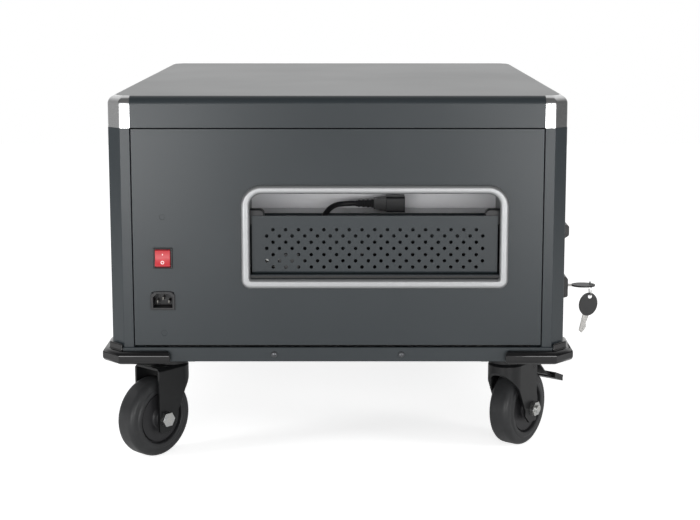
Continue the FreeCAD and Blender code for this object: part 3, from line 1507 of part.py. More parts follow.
base_pan()
corner_posts()
service_panel()
plain_panels()
top_cover()
corner_bumpers()
base_screws()
opening_frame()
pocket_liner()
cable_tray()
tray_lugs()
rocker_switch()
mains_inlet()
connector()
plug()
lead_hank()
lead_cord()
group("caster_plates", [caster_plate(caster) for caster in CASTER_HEADINGS])
for caster in CASTER_HEADINGS:
    caster_fork(caster, caster.endswith("door"))
    caster_axle(caster)
    caster_wheel(caster)
    if caster.endswith("door"):
        caster_brake(caster)
caster_bolts()
door()
hinges()
pull_and_lock()
keys()
bulkhead()
device_rack()
socket_rail()

doc.recompute()
failed = [i.Name for i in doc.Objects if "Invalid" in i.State or "Error" in i.State]
failed += [i.Label for i in parts if i.Shape.isNull() or not i.Shape.isValid()]
if failed:
    raise RuntimeError(f"did not build: {failed}")

os.makedirs("parts", exist_ok=True)
for item in parts:
    item.Shape.exportStep(f"parts/{item.Label}.step")
print(f"{len(parts)} sub-parts written")
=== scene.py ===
import json
import math

import bmesh
import bpy
from mathutils import Matrix, Vector

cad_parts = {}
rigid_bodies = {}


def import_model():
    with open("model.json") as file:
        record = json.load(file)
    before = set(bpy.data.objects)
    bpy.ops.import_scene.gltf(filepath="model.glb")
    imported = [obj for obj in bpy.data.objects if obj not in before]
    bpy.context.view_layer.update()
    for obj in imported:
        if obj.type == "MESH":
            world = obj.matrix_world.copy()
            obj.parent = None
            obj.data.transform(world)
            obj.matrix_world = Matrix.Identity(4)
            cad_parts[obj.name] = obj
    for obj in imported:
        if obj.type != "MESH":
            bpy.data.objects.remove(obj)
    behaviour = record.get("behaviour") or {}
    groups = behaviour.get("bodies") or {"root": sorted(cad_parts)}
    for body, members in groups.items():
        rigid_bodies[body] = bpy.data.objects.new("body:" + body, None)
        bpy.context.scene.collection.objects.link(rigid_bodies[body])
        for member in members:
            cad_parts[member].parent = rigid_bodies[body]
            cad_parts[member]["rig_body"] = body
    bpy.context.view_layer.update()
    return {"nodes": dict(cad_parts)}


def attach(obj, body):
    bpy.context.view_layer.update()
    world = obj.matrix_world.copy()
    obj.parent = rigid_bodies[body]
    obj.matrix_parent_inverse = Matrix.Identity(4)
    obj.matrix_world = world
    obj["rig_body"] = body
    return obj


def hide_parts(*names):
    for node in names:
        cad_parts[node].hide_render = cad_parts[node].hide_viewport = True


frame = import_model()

# The view: a long lens a little above the lid, square to the service side, as the
# photograph was taken. Sizes in this file are millimetres until they reach a mesh.
MM = 0.001
CAMERA_SPOT, CAMERA_PITCH = (17.9, -2152.4, 606.5), 8.66
LENS, SENSOR_WIDE = 77.45, 36
SHIFT_X, SHIFT_Y = -0.0033, -0.0821
camera = bpy.data.objects.new("camera", bpy.data.cameras.new("camera"))
bpy.context.scene.collection.objects.link(camera)
camera.location = Vector(CAMERA_SPOT) * MM
camera.rotation_euler = (math.radians(90 - CAMERA_PITCH), 0, 0)
camera.data.lens = LENS
camera.data.sensor_width = SENSOR_WIDE
camera.data.shift_x = SHIFT_X
camera.data.shift_y = SHIFT_Y
bpy.context.scene.camera = camera
bpy.context.scene.view_settings.view_transform = "Standard"


# Base pan, posts and plain panels: mild steel sheet, folded at the edges, welded and
# screwed to a box. The whole body is sprayed with one dark grey polyester powder and baked.
MERGE, FLAT = 0.002, 0.2
# edges are eased where they turn by this much more than what is shaded smooth
EASED_PAST = 8
# most of a noise texture's values lie between these two
SPREAD = {"From Min": 0.3, "From Max": 0.7}


def to_linear(text):
    """An sRGB hex colour as the linear values that a shader takes."""
    parts = [int(text[i:i + 2], 16) / 255 for i in (0, 2, 4)]
    return tuple(c / 12.92 if c <= 0.04045 else ((c + 0.055) / 1.055) ** 2.4 for c in parts) + (1,)


def add_node(material, kind, settings=None, links=None):
    """One node with its settings; what is linked is a socket of an earlier node."""
    node = material.node_tree.nodes.new(kind)
    for name, value in (settings or {}).items():
        if isinstance(name, int) or name in node.inputs:
            node.inputs[name].default_value = value
        else:
            setattr(node, name, value)
    for name, socket in (links or {}).items():
        material.node_tree.links.new(socket, node.inputs[name])
    return node


def new_material(name):
    """A material with an empty node tree, and the coordinates of the piece that wears it."""
    material = bpy.data.materials.new(name)
    material.use_nodes = True
    material.node_tree.nodes.clear()
    return material, add_node(material, "ShaderNodeTexCoord").outputs["Object"]


def close_material(material, settings, links):
    """The shader and the output that end a material's nodes."""
    skin = add_node(material, "ShaderNodeBsdfPrincipled", settings, links)
    add_node(material, "ShaderNodeOutputMaterial", None, {"Surface": skin.outputs["BSDF"]})


def add_piece(form, name, materials, body, nodes, smooth=32, edge=0):
    """A finished piece from a mesh under work: smooth under an angle, its edges eased."""
    mesh = bpy.data.meshes.new(name)
    form.to_mesh(mesh)
    form.free()
    for material in materials:
        mesh.materials.append(material)
    for face in mesh.polygons:
        face.use_smooth = True
    mesh.set_sharp_from_angle(angle=math.radians(smooth))
    piece = bpy.data.objects.new(name, mesh)
    bpy.context.scene.collection.objects.link(piece)
    if edge:
        eased = piece.modifiers.new("eased_edges", "BEVEL")
        eased.width = edge * MM
        eased.segments = 2
        eased.limit_method = "ANGLE"
        eased.angle_limit = math.radians(smooth + EASED_PAST)
    even = piece.modifiers.new("even_shading", "WEIGHTED_NORMAL")
    even.keep_sharp = True
    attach(piece, body)
    if nodes:
        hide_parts(*nodes)
    return piece


def node_form(node):
    """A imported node's own shape to work on: seams merged and flat faces made whole."""
    form = bmesh.new()
    form.from_mesh(frame["nodes"][node].data)
    bmesh.ops.remove_doubles(form, verts=form.verts, dist=MERGE * MM)
    bmesh.ops.dissolve_limit(form, angle_limit=math.radians(FLAT), verts=form.verts,
                             edges=form.edges)
    for face in form.faces:
        face.material_index = 0
    return form


def finished_node(node, name, material, smooth=32, edge=0):
    """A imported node's own shape as a finished piece in one material."""
    body = frame["nodes"][node]["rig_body"]
    return add_piece(node_form(node), name, [material], body, [node], smooth, edge)


# Polyester powder coat: an even dark grey with a satin gloss, broken by the faint ripple
# that baked powder keeps and by slight drifts of tone over a hand's width.
body_coat, place = new_material("dark_grey_powder_coat")
drift = add_node(body_coat, "ShaderNodeTexNoise", {"Scale": 1 / (180 * MM), "Detail": 3.0},
                 {"Vector": place})
tone = add_node(body_coat, "ShaderNodeMixRGB",
                {"Color1": to_linear("22272a"), "Color2": to_linear("2a2f32")},
                {"Fac": drift.outputs["Fac"]})
ripple = add_node(body_coat, "ShaderNodeTexNoise", {"Scale": 1 / (2.4 * MM), "Detail": 1.0},
                  {"Vector": place})
gloss = add_node(body_coat, "ShaderNodeMapRange", {**SPREAD, "To Min": 0.28, "To Max": 0.31},
                 {"Value": drift.outputs["Fac"]})
peel = add_node(body_coat, "ShaderNodeBump", {"Strength": 0.15, "Distance": 0.04 * MM},
                {"Height": ripple.outputs["Fac"]})
close_material(body_coat, {"IOR": 1.45},
               {"Base Color": tone.outputs["Color"], "Roughness": gloss.outputs["Result"],
                "Normal": peel.outputs["Normal"]})
finished_node("base_pan", "base_pan_coated", body_coat, edge=0.8)
finished_node("corner_posts", "corner_posts_coated", body_coat, edge=0.6)
for node in ("service_panel", "far_side_panel", "back_panel", "door_panel"):
    finished_node(node, node + "_coated", body_coat, edge=0.8)


# Plinth screws: pan-head machine screws with a cross recess, turned and cold headed from
# steel wire and blackened. Two on the service side and two on the far side hold the base
# pan to the body.
SCREW_X, SCREW_Y, SCREW_Z = 78.5, 342.4, 141.0
# the crown's first ring is so small that merging closes it to a point
SCREW_HALF = [(0.02, 2.2), (1.6, 2.15), (2.8, 1.75), (3.6, 1.0), (3.9, 0.3), (3.9, 0.0)]
CROWN_MERGE, SCREW_SIDES = 0.03, 20
CROSS_ARM, CROSS_WIDE, CROSS_DEEP, CROSS_FLOOR = 2.1, 0.55, 1.2, 0.5
# the recesses stand as the driver left them, those on the right turned further
SCREW_TURN, SCREW_TURN_SIDE = 17, 23

# Blackened steel: a dark metal with a soft oily shine, greyer where a driver has rubbed it.
black_steel, place = new_material("blackened_steel")
rub = add_node(black_steel, "ShaderNodeTexNoise", {"Scale": 1 / (1.2 * MM), "Detail": 2.0},
               {"Vector": place})
tone = add_node(black_steel, "ShaderNodeMixRGB",
                {"Color1": to_linear("3c3d3f"), "Color2": to_linear("808285")},
                {"Fac": rub.outputs["Fac"]})
close_material(black_steel, {"Metallic": 0.85, "Roughness": 0.34},
               {"Base Color": tone.outputs["Color"]})


def turn_profile(form, profile, axis, sides, closed=True):
    """A profile of radius and height, turned a full circle about an axis of the origin."""
    spots = [form.verts.new((radius * MM, height * MM * axis[1], height * MM * axis[2]))
             for radius, height in profile]
    first = 0 if closed else 1
    edges = [form.edges.new((spots[i - 1], spots[i])) for i in range(first, len(spots))]
    bmesh.ops.spin(form, geom=spots + edges, cent=(0, 0, 0), axis=axis, angle=2 * math.pi,
                   steps=sides, use_merge=True)


def verts_of(geometry):
    """The vertices among what a bmesh operator gives back."""
    return [part for part in geometry if isinstance(part, bmesh.types.BMVert)]


screws = bmesh.new()
turn_profile(screws, SCREW_HALF, (0, 0, 1), SCREW_SIDES, closed=False)
bmesh.ops.remove_doubles(screws, verts=screws.verts, dist=CROWN_MERGE * MM)
bmesh.ops.recalc_face_normals(screws, faces=screws.faces)
for axis in (Vector((1, 0, 0)), Vector((0, 1, 0))):
    for reach in (-CROSS_ARM, -CROSS_WIDE, CROSS_WIDE, CROSS_ARM):
        parts = screws.verts[:] + screws.edges[:] + screws.faces[:]
        bmesh.ops.bisect_plane(screws, geom=parts, plane_co=axis * reach * MM, plane_no=axis)
cross = []
for face in screws.faces:
    x, y, z = face.calc_center_median() / MM
    narrow, long = sorted((abs(x), abs(y)))
    if narrow < CROSS_WIDE and long < CROSS_ARM and z > CROSS_FLOOR:
        cross.append(face)
sunk = bmesh.ops.extrude_face_region(screws, geom=cross)["geom"]
bmesh.ops.delete(screws, geom=cross, context="FACES")
bmesh.ops.translate(screws, vec=(0, 0, -CROSS_DEEP * MM), verts=verts_of(sunk))
heads = [screws.verts[:] + screws.edges[:] + screws.faces[:]]
heads += [bmesh.ops.duplicate(screws, geom=heads[0])["geom"] for copy in range(3)]
for head, (side_x, side_y) in zip(heads, ((-1, -1), (1, -1), (-1, 1), (1, 1))):
    driven = math.radians(SCREW_TURN + SCREW_TURN_SIDE * side_x)
    facing = Matrix.Rotation(math.radians(-90 * side_y), 4, "X")
    turn = facing @ Matrix.Rotation(driven, 4, "Z")
    spot = Matrix.Translation(Vector((SCREW_X * side_x, SCREW_Y * side_y, SCREW_Z)) * MM)
    bmesh.ops.transform(screws, matrix=spot @ turn, verts=verts_of(head))
add_piece(screws, "plinth_screws", [black_steel], "cabinet", ["base_screws"],
          smooth=35)


# Corner bumpers: a bead of black rubber, moulded in one with a pad behind it, that wraps
# the base at each corner and is bonded on to take knocks from door frames.

# Moulded rubber: near black and glossy from a polished mould, with faint flow marks.
bumper_rubber, place = new_material("moulded_black_rubber")
flow = add_node(bumper_rubber, "ShaderNodeTexNoise",
                {"Scale": 1 / (14 * MM), "Detail": 2.0, "Distortion": 0.6}, {"Vector": place})
tone = add_node(bumper_rubber, "ShaderNodeMixRGB",
                {"Color1": to_linear("0b0b0c"), "Color2": to_linear("131314")},
                {"Fac": flow.outputs["Fac"]})
gloss = add_node(bumper_rubber, "ShaderNodeMapRange", {**SPREAD, "To Min": 0.04, "To Max": 0.07},
                 {"Value": flow.outputs["Fac"]})
close_material(bumper_rubber, {"IOR": 1.5},
               {"Base Color": tone.outputs["Color"], "Roughness": gloss.outputs["Result"]})
finished_node("corner_bumpers", "corner_bumper_set", bumper_rubber,
              smooth=38, edge=1.2)


# Castors: a bolted plate with a king pin, a pressed steel fork that swivels on it, and a
# bolt with a nut for the wheel's axle. Fork and plate are stove enamelled black.
KING_PIN_X, KING_PIN_Y = 215, 275
# each corner's fork, with the degrees that it is turned by at rest
FORK_TURNS = {"service_left": 229, "service_door": 53, "far_left": 195, "far_door": 345}

# Black enamel on pressed steel: a deep black with a semi-gloss skin and a slight ripple.
black_enamel, place = new_material("black_stove_enamel")
sag = add_node(black_enamel, "ShaderNodeTexNoise", {"Scale": 1 / (9 * MM), "Detail": 2.0},
               {"Vector": place})
tone = add_node(black_enamel, "ShaderNodeMixRGB",
                {"Color1": to_linear("0c0c0d"), "Color2": to_linear("151617")},
                {"Fac": sag.outputs["Fac"]})
ripple = add_node(black_enamel, "ShaderNodeBump", {"Strength": 0.3, "Distance": 0.15 * MM},
                  {"Height": sag.outputs["Fac"]})
close_material(black_enamel, {"Roughness": 0.3, "IOR": 1.42},
               {"Base Color": tone.outputs["Color"], "Normal": ripple.outputs["Normal"]})

# Bright zinc plate: a cool silver with faint blue and straw drifts from the passivation
# and fine tumbling marks that blur its reflections.
bright_zinc, place = new_material("bright_zinc_plate")
stain = add_node(bright_zinc, "ShaderNodeTexNoise", {"Scale": 1 / (7 * MM), "Detail": 2.0},
                 {"Vector": place})
tone = add_node(bright_zinc, "ShaderNodeMixRGB",
                {"Color1": to_linear("c3c8cd"), "Color2": to_linear("dbd8cf")},
                {"Fac": stain.outputs["Fac"]})
marks = add_node(bright_zinc, "ShaderNodeTexNoise", {"Scale": 1 / (0.7 * MM), "Detail": 2.0},
                 {"Vector": place})
gloss = add_node(bright_zinc, "ShaderNodeMapRange", {**SPREAD, "To Min": 0.2, "To Max": 0.36},
                 {"Value": marks.outputs["Fac"]})
close_material(bright_zinc, {"Metallic": 1.0},
               {"Base Color": tone.outputs["Color"], "Roughness": gloss.outputs["Result"]})


def fork_place(corner):
    """Where a corner's king pin stands on the floor plan, turned with its fork."""
    side_x = 1 if corner.endswith("door") else -1
    side_y = -1 if corner.startswith("service") else 1
    king_pin = Vector((KING_PIN_X * side_x, KING_PIN_Y * side_y, 0)) * MM
    turn = Matrix.Rotation(math.radians(FORK_TURNS[corner]), 4, "Z")
    return Matrix.Translation(king_pin) @ turn


finished_node("caster_plates", "castor_plates", black_enamel, edge=0.5)
finished_node("caster_bolts", "castor_bolts", bright_zinc, edge=0.5)
for corner in FORK_TURNS:
    finished_node(f"caster_fork_{corner}", f"castor_fork_{corner}", black_enamel,
                  edge=0.8)
    finished_node(f"caster_axle_{corner}", f"castor_axle_{corner}", bright_zinc,
                  edge=0.7)


# Brake pedals: pressed and enamelled like the forks, pivoted on a pin through the legs. A
# ribbed rubber tread is bonded on the foot plate.
FOOT_X, FOOT_Z, FOOT_SLOPE = 84.0, 83.3, 21.57
TREAD_HALF, TREAD_START, TREAD_END = 24.6, 0.2, 23.4
TREAD_UNDER, TREAD_LOW, TREAD_HIGH = -0.2, 2.2, 3.2
RIBS, RIB_SLOPE, RIB_CROWN = 5, 0.5, 2.4
tread_side = [(TREAD_START, TREAD_UNDER), (TREAD_END, TREAD_UNDER)]
rib_pitch = (TREAD_END - TREAD_START) / RIBS
for rib in range(RIBS):
    outer = TREAD_END - rib_pitch * rib
    crown = outer - RIB_SLOPE
    tread_side += [(outer, TREAD_LOW), (crown, TREAD_HIGH), (crown - RIB_CROWN, TREAD_HIGH),
                   (crown - RIB_CROWN - RIB_SLOPE, TREAD_LOW)]
tread_side.append((TREAD_START, TREAD_LOW))
foot_slope = Matrix.Rotation(math.radians(FOOT_SLOPE), 4, "Y")
foot = Matrix.Translation(Vector((FOOT_X, 0, FOOT_Z)) * MM) @ foot_slope
for corner in ("service_door", "far_door"):
    pedal = node_form(f"caster_brake_{corner}")
    plain = set(pedal.verts)
    side = [pedal.verts.new((along * MM, -TREAD_HALF * MM, up * MM)) for along, up in tread_side]
    grown = bmesh.ops.extrude_face_region(pedal, geom=[pedal.faces.new(side)])["geom"]
    bmesh.ops.translate(pedal, vec=(0, 2 * TREAD_HALF * MM, 0), verts=verts_of(grown))
    tread = [vert for vert in pedal.verts if vert not in plain]
    skin = [face for face in pedal.faces if face.verts[0] not in plain]
    bmesh.ops.recalc_face_normals(pedal, faces=skin)
    for face in skin:
        face.material_index = 1
    bmesh.ops.transform(pedal, matrix=fork_place(corner) @ foot, verts=tread)
    add_piece(pedal, f"castor_brake_{corner}", [black_enamel, bumper_rubber],
              f"brake_{corner}", [f"caster_brake_{corner}"], edge=0.4)


# Wheels: a moulded nylon core with a plain bored hub, and a solid rubber tyre pressed over
# it. A deep groove parts the two, and the tyre's side has a raised ring and a rolled shoulder.
WHEEL_RADIUS, WHEEL_TRAIL, WHEEL_SIDES, WHEEL_MERGE = 50, 30, 96, 0.001
CORE_HALF = [(5.06, 19), (10.6, 19), (11.6, 18.4), (12.4, 15.2), (13.4, 13.6), (15, 13),
             (30.4, 13), (31.0, 12.4), (31.2, 10.6), (33, 10.6)]
TYRE_HALF = [(33, 10.6), (33, 14.6), (33.5, 15.5), (34.6, 16), (37.6, 16), (38.6, 15.6),
             (39.2, 14.9), (40.4, 14.7), (43.6, 14.8), (45.8, 14.2), (47.6, 13.0),
             (49.0, 11.2), (49.8, 9.0), (WHEEL_RADIUS, 6.4)]

# Moulded nylon: a flat greyish black with the fine sparkle of a spark-eroded mould.
core_nylon, place = new_material("moulded_black_nylon")
grit = add_node(core_nylon, "ShaderNodeTexNoise", {"Scale": 1 / (0.9 * MM), "Detail": 2.0},
                {"Vector": place})
tone = add_node(core_nylon, "ShaderNodeMixRGB",
                {"Color1": to_linear("19191a"), "Color2": to_linear("262628")},
                {"Fac": grit.outputs["Fac"]})
etch = add_node(core_nylon, "ShaderNodeBump", {"Strength": 0.4, "Distance": 0.05 * MM},
                {"Height": grit.outputs["Fac"]})
close_material(core_nylon, {"Roughness": 0.4, "IOR": 1.42},
               {"Base Color": tone.outputs["Color"], "Normal": etch.outputs["Normal"]})

# Solid tyre rubber: dull black, a little grey with bloom and dust in patches.
tyre_rubber, place = new_material("solid_black_tyre_rubber")
bloom = add_node(tyre_rubber, "ShaderNodeTexNoise",
                 {"Scale": 1 / (12 * MM), "Detail": 4.0, "Roughness": 0.6}, {"Vector": place})
tone = add_node(tyre_rubber, "ShaderNodeMixRGB",
                {"Color1": to_linear("1d1d1e"), "Color2": to_linear("2d2e2f")},
                {"Fac": bloom.outputs["Fac"]})
pores = add_node(tyre_rubber, "ShaderNodeTexNoise", {"Scale": 1 / (1.1 * MM), "Detail": 2.0},
                 {"Vector": place})
skin = add_node(tyre_rubber, "ShaderNodeBump", {"Strength": 0.4, "Distance": 0.08 * MM},
                {"Height": pores.outputs["Fac"]})
close_material(tyre_rubber, {"Roughness": 0.4, "IOR": 1.42},
               {"Base Color": tone.outputs["Color"], "Normal": skin.outputs["Normal"]})


def turn_wheel(name, half, corner, material, node):
    """A profile and its mirror image, turned a full circle about the wheel's axle."""
    form = bmesh.new()
    whole = half + [(radius, -side) for radius, side in reversed(half)]
    turn_profile(form, whole, (0, 1, 0), WHEEL_SIDES)
    bmesh.ops.remove_doubles(form, verts=form.verts, dist=WHEEL_MERGE * MM)
    bmesh.ops.recalc_face_normals(form, faces=form.faces)
    axle = Matrix.Translation(Vector((WHEEL_TRAIL, 0, WHEEL_RADIUS)) * MM)
    bmesh.ops.transform(form, matrix=fork_place(corner) @ axle, verts=form.verts)
    add_piece(form, name, [material], f"wheel_{corner}", [node], smooth=42)


for corner in FORK_TURNS:
    turn_wheel(f"wheel_core_{corner}", CORE_HALF, corner, core_nylon,
               f"caster_core_{corner}")
    turn_wheel(f"wheel_tyre_{corner}", TYRE_HALF, corner, tyre_rubber,
               f"caster_tyre_{corner}")


# Cord pocket: a folded liner behind an opening in the service panel, trimmed on the face
# with a silver frame. The liner's back and ledge are pale and its cheeks dark; every face
# below the ledge, the wall behind the tray among them, and its downward faces take the dark
# coat as painted shade. A black rubber strip in the joint between its floor and the panel
# is painted shade of the gap under the tray.
LEDGE, TURNED = 306.0, 0.7
STRIP_X, STRIP_WIDE, STRIP_GAUGE = 45.4, 314.9, 1.2
STRIP_FRONT, STRIP_TOP, STRIP_LOW = -338.3, 240.4, 231.0

# Pale powder coat: a light warm grey, satin, with the same faint ripple as the body.
pale_coat, place = new_material("pale_grey_powder_coat")
drift = add_node(pale_coat, "ShaderNodeTexNoise", {"Scale": 1 / (90 * MM), "Detail": 3.0},
                 {"Vector": place})
tone = add_node(pale_coat, "ShaderNodeMixRGB",
                {"Color1": to_linear("d4d4d7"), "Color2": to_linear("dededf")},
                {"Fac": drift.outputs["Fac"]})
ripple = add_node(pale_coat, "ShaderNodeTexNoise", {"Scale": 1 / (2.4 * MM), "Detail": 1.0},
                  {"Vector": place})
peel = add_node(pale_coat, "ShaderNodeBump", {"Strength": 0.3, "Distance": 0.05 * MM},
                {"Height": ripple.outputs["Fac"]})
close_material(pale_coat, {"Roughness": 0.45},
               {"Base Color": tone.outputs["Color"], "Normal": peel.outputs["Normal"]})

liner = node_form("pocket_liner")
# painted shade: a black rubber strip set in the joint to darken the gap under the tray
gap_shade_strip = bmesh.ops.create_cube(liner, size=1)["verts"]
strip_size = Vector((STRIP_WIDE, STRIP_GAUGE, STRIP_TOP - STRIP_LOW)) * MM
strip_spot = Vector((STRIP_X, STRIP_FRONT + STRIP_GAUGE / 2, (STRIP_TOP + STRIP_LOW) / 2)) * MM
bmesh.ops.scale(liner, vec=strip_size, verts=gap_shade_strip)
bmesh.ops.translate(liner, vec=strip_spot, verts=gap_shade_strip)
for face in liner.faces:
    # painted shade: faces below the ledge and faces turned down take the dark body coat; the
    # sideways cheeks take it as well
    shade_below_ledge = face.calc_center_median().z < LEDGE * MM
    if abs(face.normal.x) > TURNED or shade_below_ledge or face.normal.z < -TURNED:
        face.material_index = 1
    if all(vert in gap_shade_strip for vert in face.verts):
        face.material_index = 2
add_piece(liner, "pocket_liner_coated", [pale_coat, body_coat, bumper_rubber],
          "cabinet", ["pocket_liner"], edge=0.4)

# Satin silver lacquer over a half-round moulding: bright along the crown and soft grey
# down its flanks, with fine flake in the lacquer.
silver, place = new_material("satin_silver_lacquer")
flake = add_node(silver, "ShaderNodeTexNoise", {"Scale": 1 / (0.8 * MM), "Detail": 2.0},
                 {"Vector": place})
tone = add_node(silver, "ShaderNodeMixRGB",
                {"Color1": to_linear("9a9b9c"), "Color2": to_linear("b0b1b2")},
                {"Fac": flake.outputs["Fac"]})
grain = add_node(silver, "ShaderNodeBump", {"Strength": 0.2, "Distance": 0.03 * MM},
                 {"Height": flake.outputs["Fac"]})
close_material(silver, {"Metallic": 0.85, "Roughness": 0.4},
               {"Base Color": tone.outputs["Color"], "Normal": grain.outputs["Normal"]})
finished_node("opening_frame", "pocket_frame", silver, smooth=40)


# Cord tray: one sheet punched with seven staggered rows of round holes and bent up along
# the front, with an end plate welded in at each side. It is coated with the body's powder,
# and two moulded lugs hold its upper corners.
TRAY_X, TRAY_WIDE, TRAY_GAUGE = 45.4, 301.6, 1.2
TRAY_LOW, TRAY_HIGH, TRAY_END = 240.6, 312.7, 300.6
TRAY_FRONT, TRAY_BACK, TRAY_BEND = -332.0, -274.2, 3.0
BEND_SPARE, BEND_SIDES, TRAY_MERGE, NEAR = 0.1, 5, 0.001, 0.01
HOLE, HOLE_PITCH, HOLE_ROW, HOLE_LOW = 4.5, 15.6, 7.75, 249.0
HOLE_ROWS, HOLE_COLUMNS, HOLE_SIDES = 7, 17, 14

front = bpy.data.curves.new("tray_front", "CURVE")
front.dimensions = "2D"
front.fill_mode = "BOTH"
front.extrude = TRAY_GAUGE / 2 * MM
half_wide = TRAY_WIDE / 2
tray_left, tray_right = TRAY_X - half_wide, TRAY_X + half_wide
rings = [[(tray_left, TRAY_LOW + TRAY_BEND), (tray_right, TRAY_LOW + TRAY_BEND),
          (tray_right, TRAY_HIGH), (tray_left, TRAY_HIGH)]]
turns = [2 * math.pi * step / HOLE_SIDES for step in range(HOLE_SIDES)]
for row in range(HOLE_ROWS):
    columns = HOLE_COLUMNS + row % 2
    for column in range(columns):
        x = TRAY_X + HOLE_PITCH * (column - (columns - 1) / 2)
        z = HOLE_LOW + HOLE_ROW * row
        rings.append([(x + HOLE / 2 * math.cos(a), z + HOLE / 2 * math.sin(a)) for a in turns])
for ring in rings:
    line = front.splines.new("POLY")
    line.points.add(len(ring) - 1)
    line.use_cyclic_u = True
    for point, (x, z) in zip(line.points, ring):
        point.co = (x * MM, z * MM, 0, 1)
front_flat = bpy.data.objects.new("tray_front", front)
front_mesh = bpy.data.meshes.new_from_object(front_flat)
bpy.data.objects.remove(front_flat)

tray = bmesh.new()
tray.from_mesh(front_mesh)
bpy.data.meshes.remove(front_mesh)
bmesh.ops.remove_doubles(tray, verts=tray.verts, dist=TRAY_MERGE * MM)
upright = Matrix.Rotation(math.radians(90), 4, "X")
stand = Matrix.Translation((0, (TRAY_FRONT + TRAY_GAUGE / 2) * MM, 0)) @ upright
bmesh.ops.transform(tray, matrix=stand, verts=tray.verts)
inner, lift = TRAY_FRONT + TRAY_GAUGE, TRAY_LOW + TRAY_GAUGE
ell = [(TRAY_FRONT, TRAY_LOW + TRAY_BEND), (TRAY_FRONT, TRAY_LOW), (TRAY_BACK, TRAY_LOW),
       (TRAY_BACK, lift), (inner, lift), (inner, TRAY_LOW + TRAY_BEND)]
section = [tray.verts.new((tray_left * MM, y * MM, z * MM)) for y, z in ell]
grown = bmesh.ops.extrude_face_region(tray, geom=[tray.faces.new(section)])["geom"]
bmesh.ops.translate(tray, vec=(TRAY_WIDE * MM, 0, 0), verts=verts_of(grown))
for y, z, reach in ((TRAY_FRONT, TRAY_LOW, TRAY_BEND - BEND_SPARE),
                    (inner, lift, TRAY_BEND - TRAY_GAUGE - BEND_SPARE)):
    bend = []
    for edge in tray.edges:
        a, b = edge.verts[0].co / MM, edge.verts[1].co / MM
        level = abs(a.z - z) < NEAR and abs(b.z - z) < NEAR
        if abs(a.x - b.x) > half_wide and abs(a.y - y) < NEAR and level:
            bend.append(edge)
    bmesh.ops.bevel(tray, geom=bend, offset=reach * MM, affect="EDGES", segments=BEND_SIDES,
                    profile=0.5, material=-1)
for side in (-1, 1):
    plate = bmesh.ops.create_cube(tray, size=1)["verts"]
    size = Vector((TRAY_GAUGE, TRAY_BACK - inner, TRAY_END - lift)) * MM
    spot = Vector((TRAY_X + (half_wide - TRAY_GAUGE / 2) * side, (TRAY_BACK + inner) / 2,
                   (TRAY_END + lift) / 2)) * MM
    bmesh.ops.scale(tray, vec=size, verts=plate)
    bmesh.ops.translate(tray, vec=spot, verts=plate)
bmesh.ops.recalc_face_normals(tray, faces=tray.faces)
add_piece(tray, "punched_tray", [body_coat], "cabinet", ["cable_tray"], smooth=35)

# Moulded ABS: a dense black, finely textured by its mould, with rounded edges that catch a
# grey line of light.
black_abs, place = new_material("moulded_black_abs")
grit = add_node(black_abs, "ShaderNodeTexNoise", {"Scale": 1 / (0.9 * MM), "Detail": 2.0},
                {"Vector": place})
tone = add_node(black_abs, "ShaderNodeMixRGB",
                {"Color1": to_linear("121213"), "Color2": to_linear("1e1e20")},
                {"Fac": grit.outputs["Fac"]})
etch = add_node(black_abs, "ShaderNodeBump", {"Strength": 0.3, "Distance": 0.05 * MM},
                {"Height": grit.outputs["Fac"]})
close_material(black_abs, {"Roughness": 0.4},
               {"Base Color": tone.outputs["Color"], "Normal": etch.outputs["Normal"]})
finished_node("tray_lugs", "tray_lug_pair", black_abs, edge=1.5)


# Mains lead: three cores in a round black PVC sheath, moulded to a plug at one end and an
# appliance connector at the other. The slack lies folded in the tray, and the connector on
# the ledge.
LEAD, LEAD_LENGTH = 6.8, 1.56
FOLD, FOLD_CORNERS, LAYER, LOOPS = 20.75, 10, 7.4, 4
LEFT, RIGHT = 64.0, 168.0
FRONT_Y, BACK_Y, TAIL_Y = -327.05, -285.55, -278.3
LOW_Z = 245.2
TOP_Z = LOW_Z + LAYER * (LOOPS - 1)
TAIL_X = LEFT - FOLD - LEAD
PLUG_Y, PLUG_Z = -316.8, 254.3
lead_points = [(TAIL_X - 50, PLUG_Y, PLUG_Z), (TAIL_X - 37.6, PLUG_Y, PLUG_Z),
               (TAIL_X - 5.6, FRONT_Y, TOP_Z)]
# a fold's points stand on the corners of the polygon around its half circle
half_step = 90 / FOLD_CORNERS
turns = [math.radians(half_step * (2 * step + 1) - 90) for step in range(FOLD_CORNERS)]
around = FOLD / math.cos(math.radians(half_step))
short = FOLD * math.tan(math.radians(half_step))
start, end = LEFT + short, RIGHT - short
middle_y = (FRONT_Y + BACK_Y) / 2
for loop in range(LOOPS):
    z = TOP_Z - LAYER * loop
    for share in (0, 1 / 3, 2 / 3, 1):
        lead_points.append((start + (end - start) * share, FRONT_Y, z))
    for turn in turns:
        lead_points.append((RIGHT + around * math.cos(turn), middle_y + around * math.sin(turn), z))
    if loop == LOOPS - 1:
        break
    for share, sink in ((0, 0), (0.25, 0.08), (0.5, 0.5), (0.75, 0.92), (1, 1)):
        lead_points.append((end + (start - end) * share, BACK_Y, z - LAYER * sink))
    for turn in turns:
        lead_points.append((LEFT - around * math.cos(turn), middle_y - around * math.sin(turn),
                            z - LAYER))
lead_points += [(end, BACK_Y, LOW_Z), (RIGHT - 22, BACK_Y, LOW_Z), (RIGHT - 46, TAIL_Y, LOW_Z),
                (RIGHT - 70, TAIL_Y, LOW_Z), (LEFT, TAIL_Y, LOW_Z), (TAIL_X, TAIL_Y, LOW_Z),
                (12, TAIL_Y, LOW_Z), (-10, -284, 250), (-24, -289, 266), (-26, -290, 287),
                (-17.5, -282, 306.3), (-6.8, -267.5, 316), (9.5, -258.5, 317),
                (22.1, -258.5, 317)]

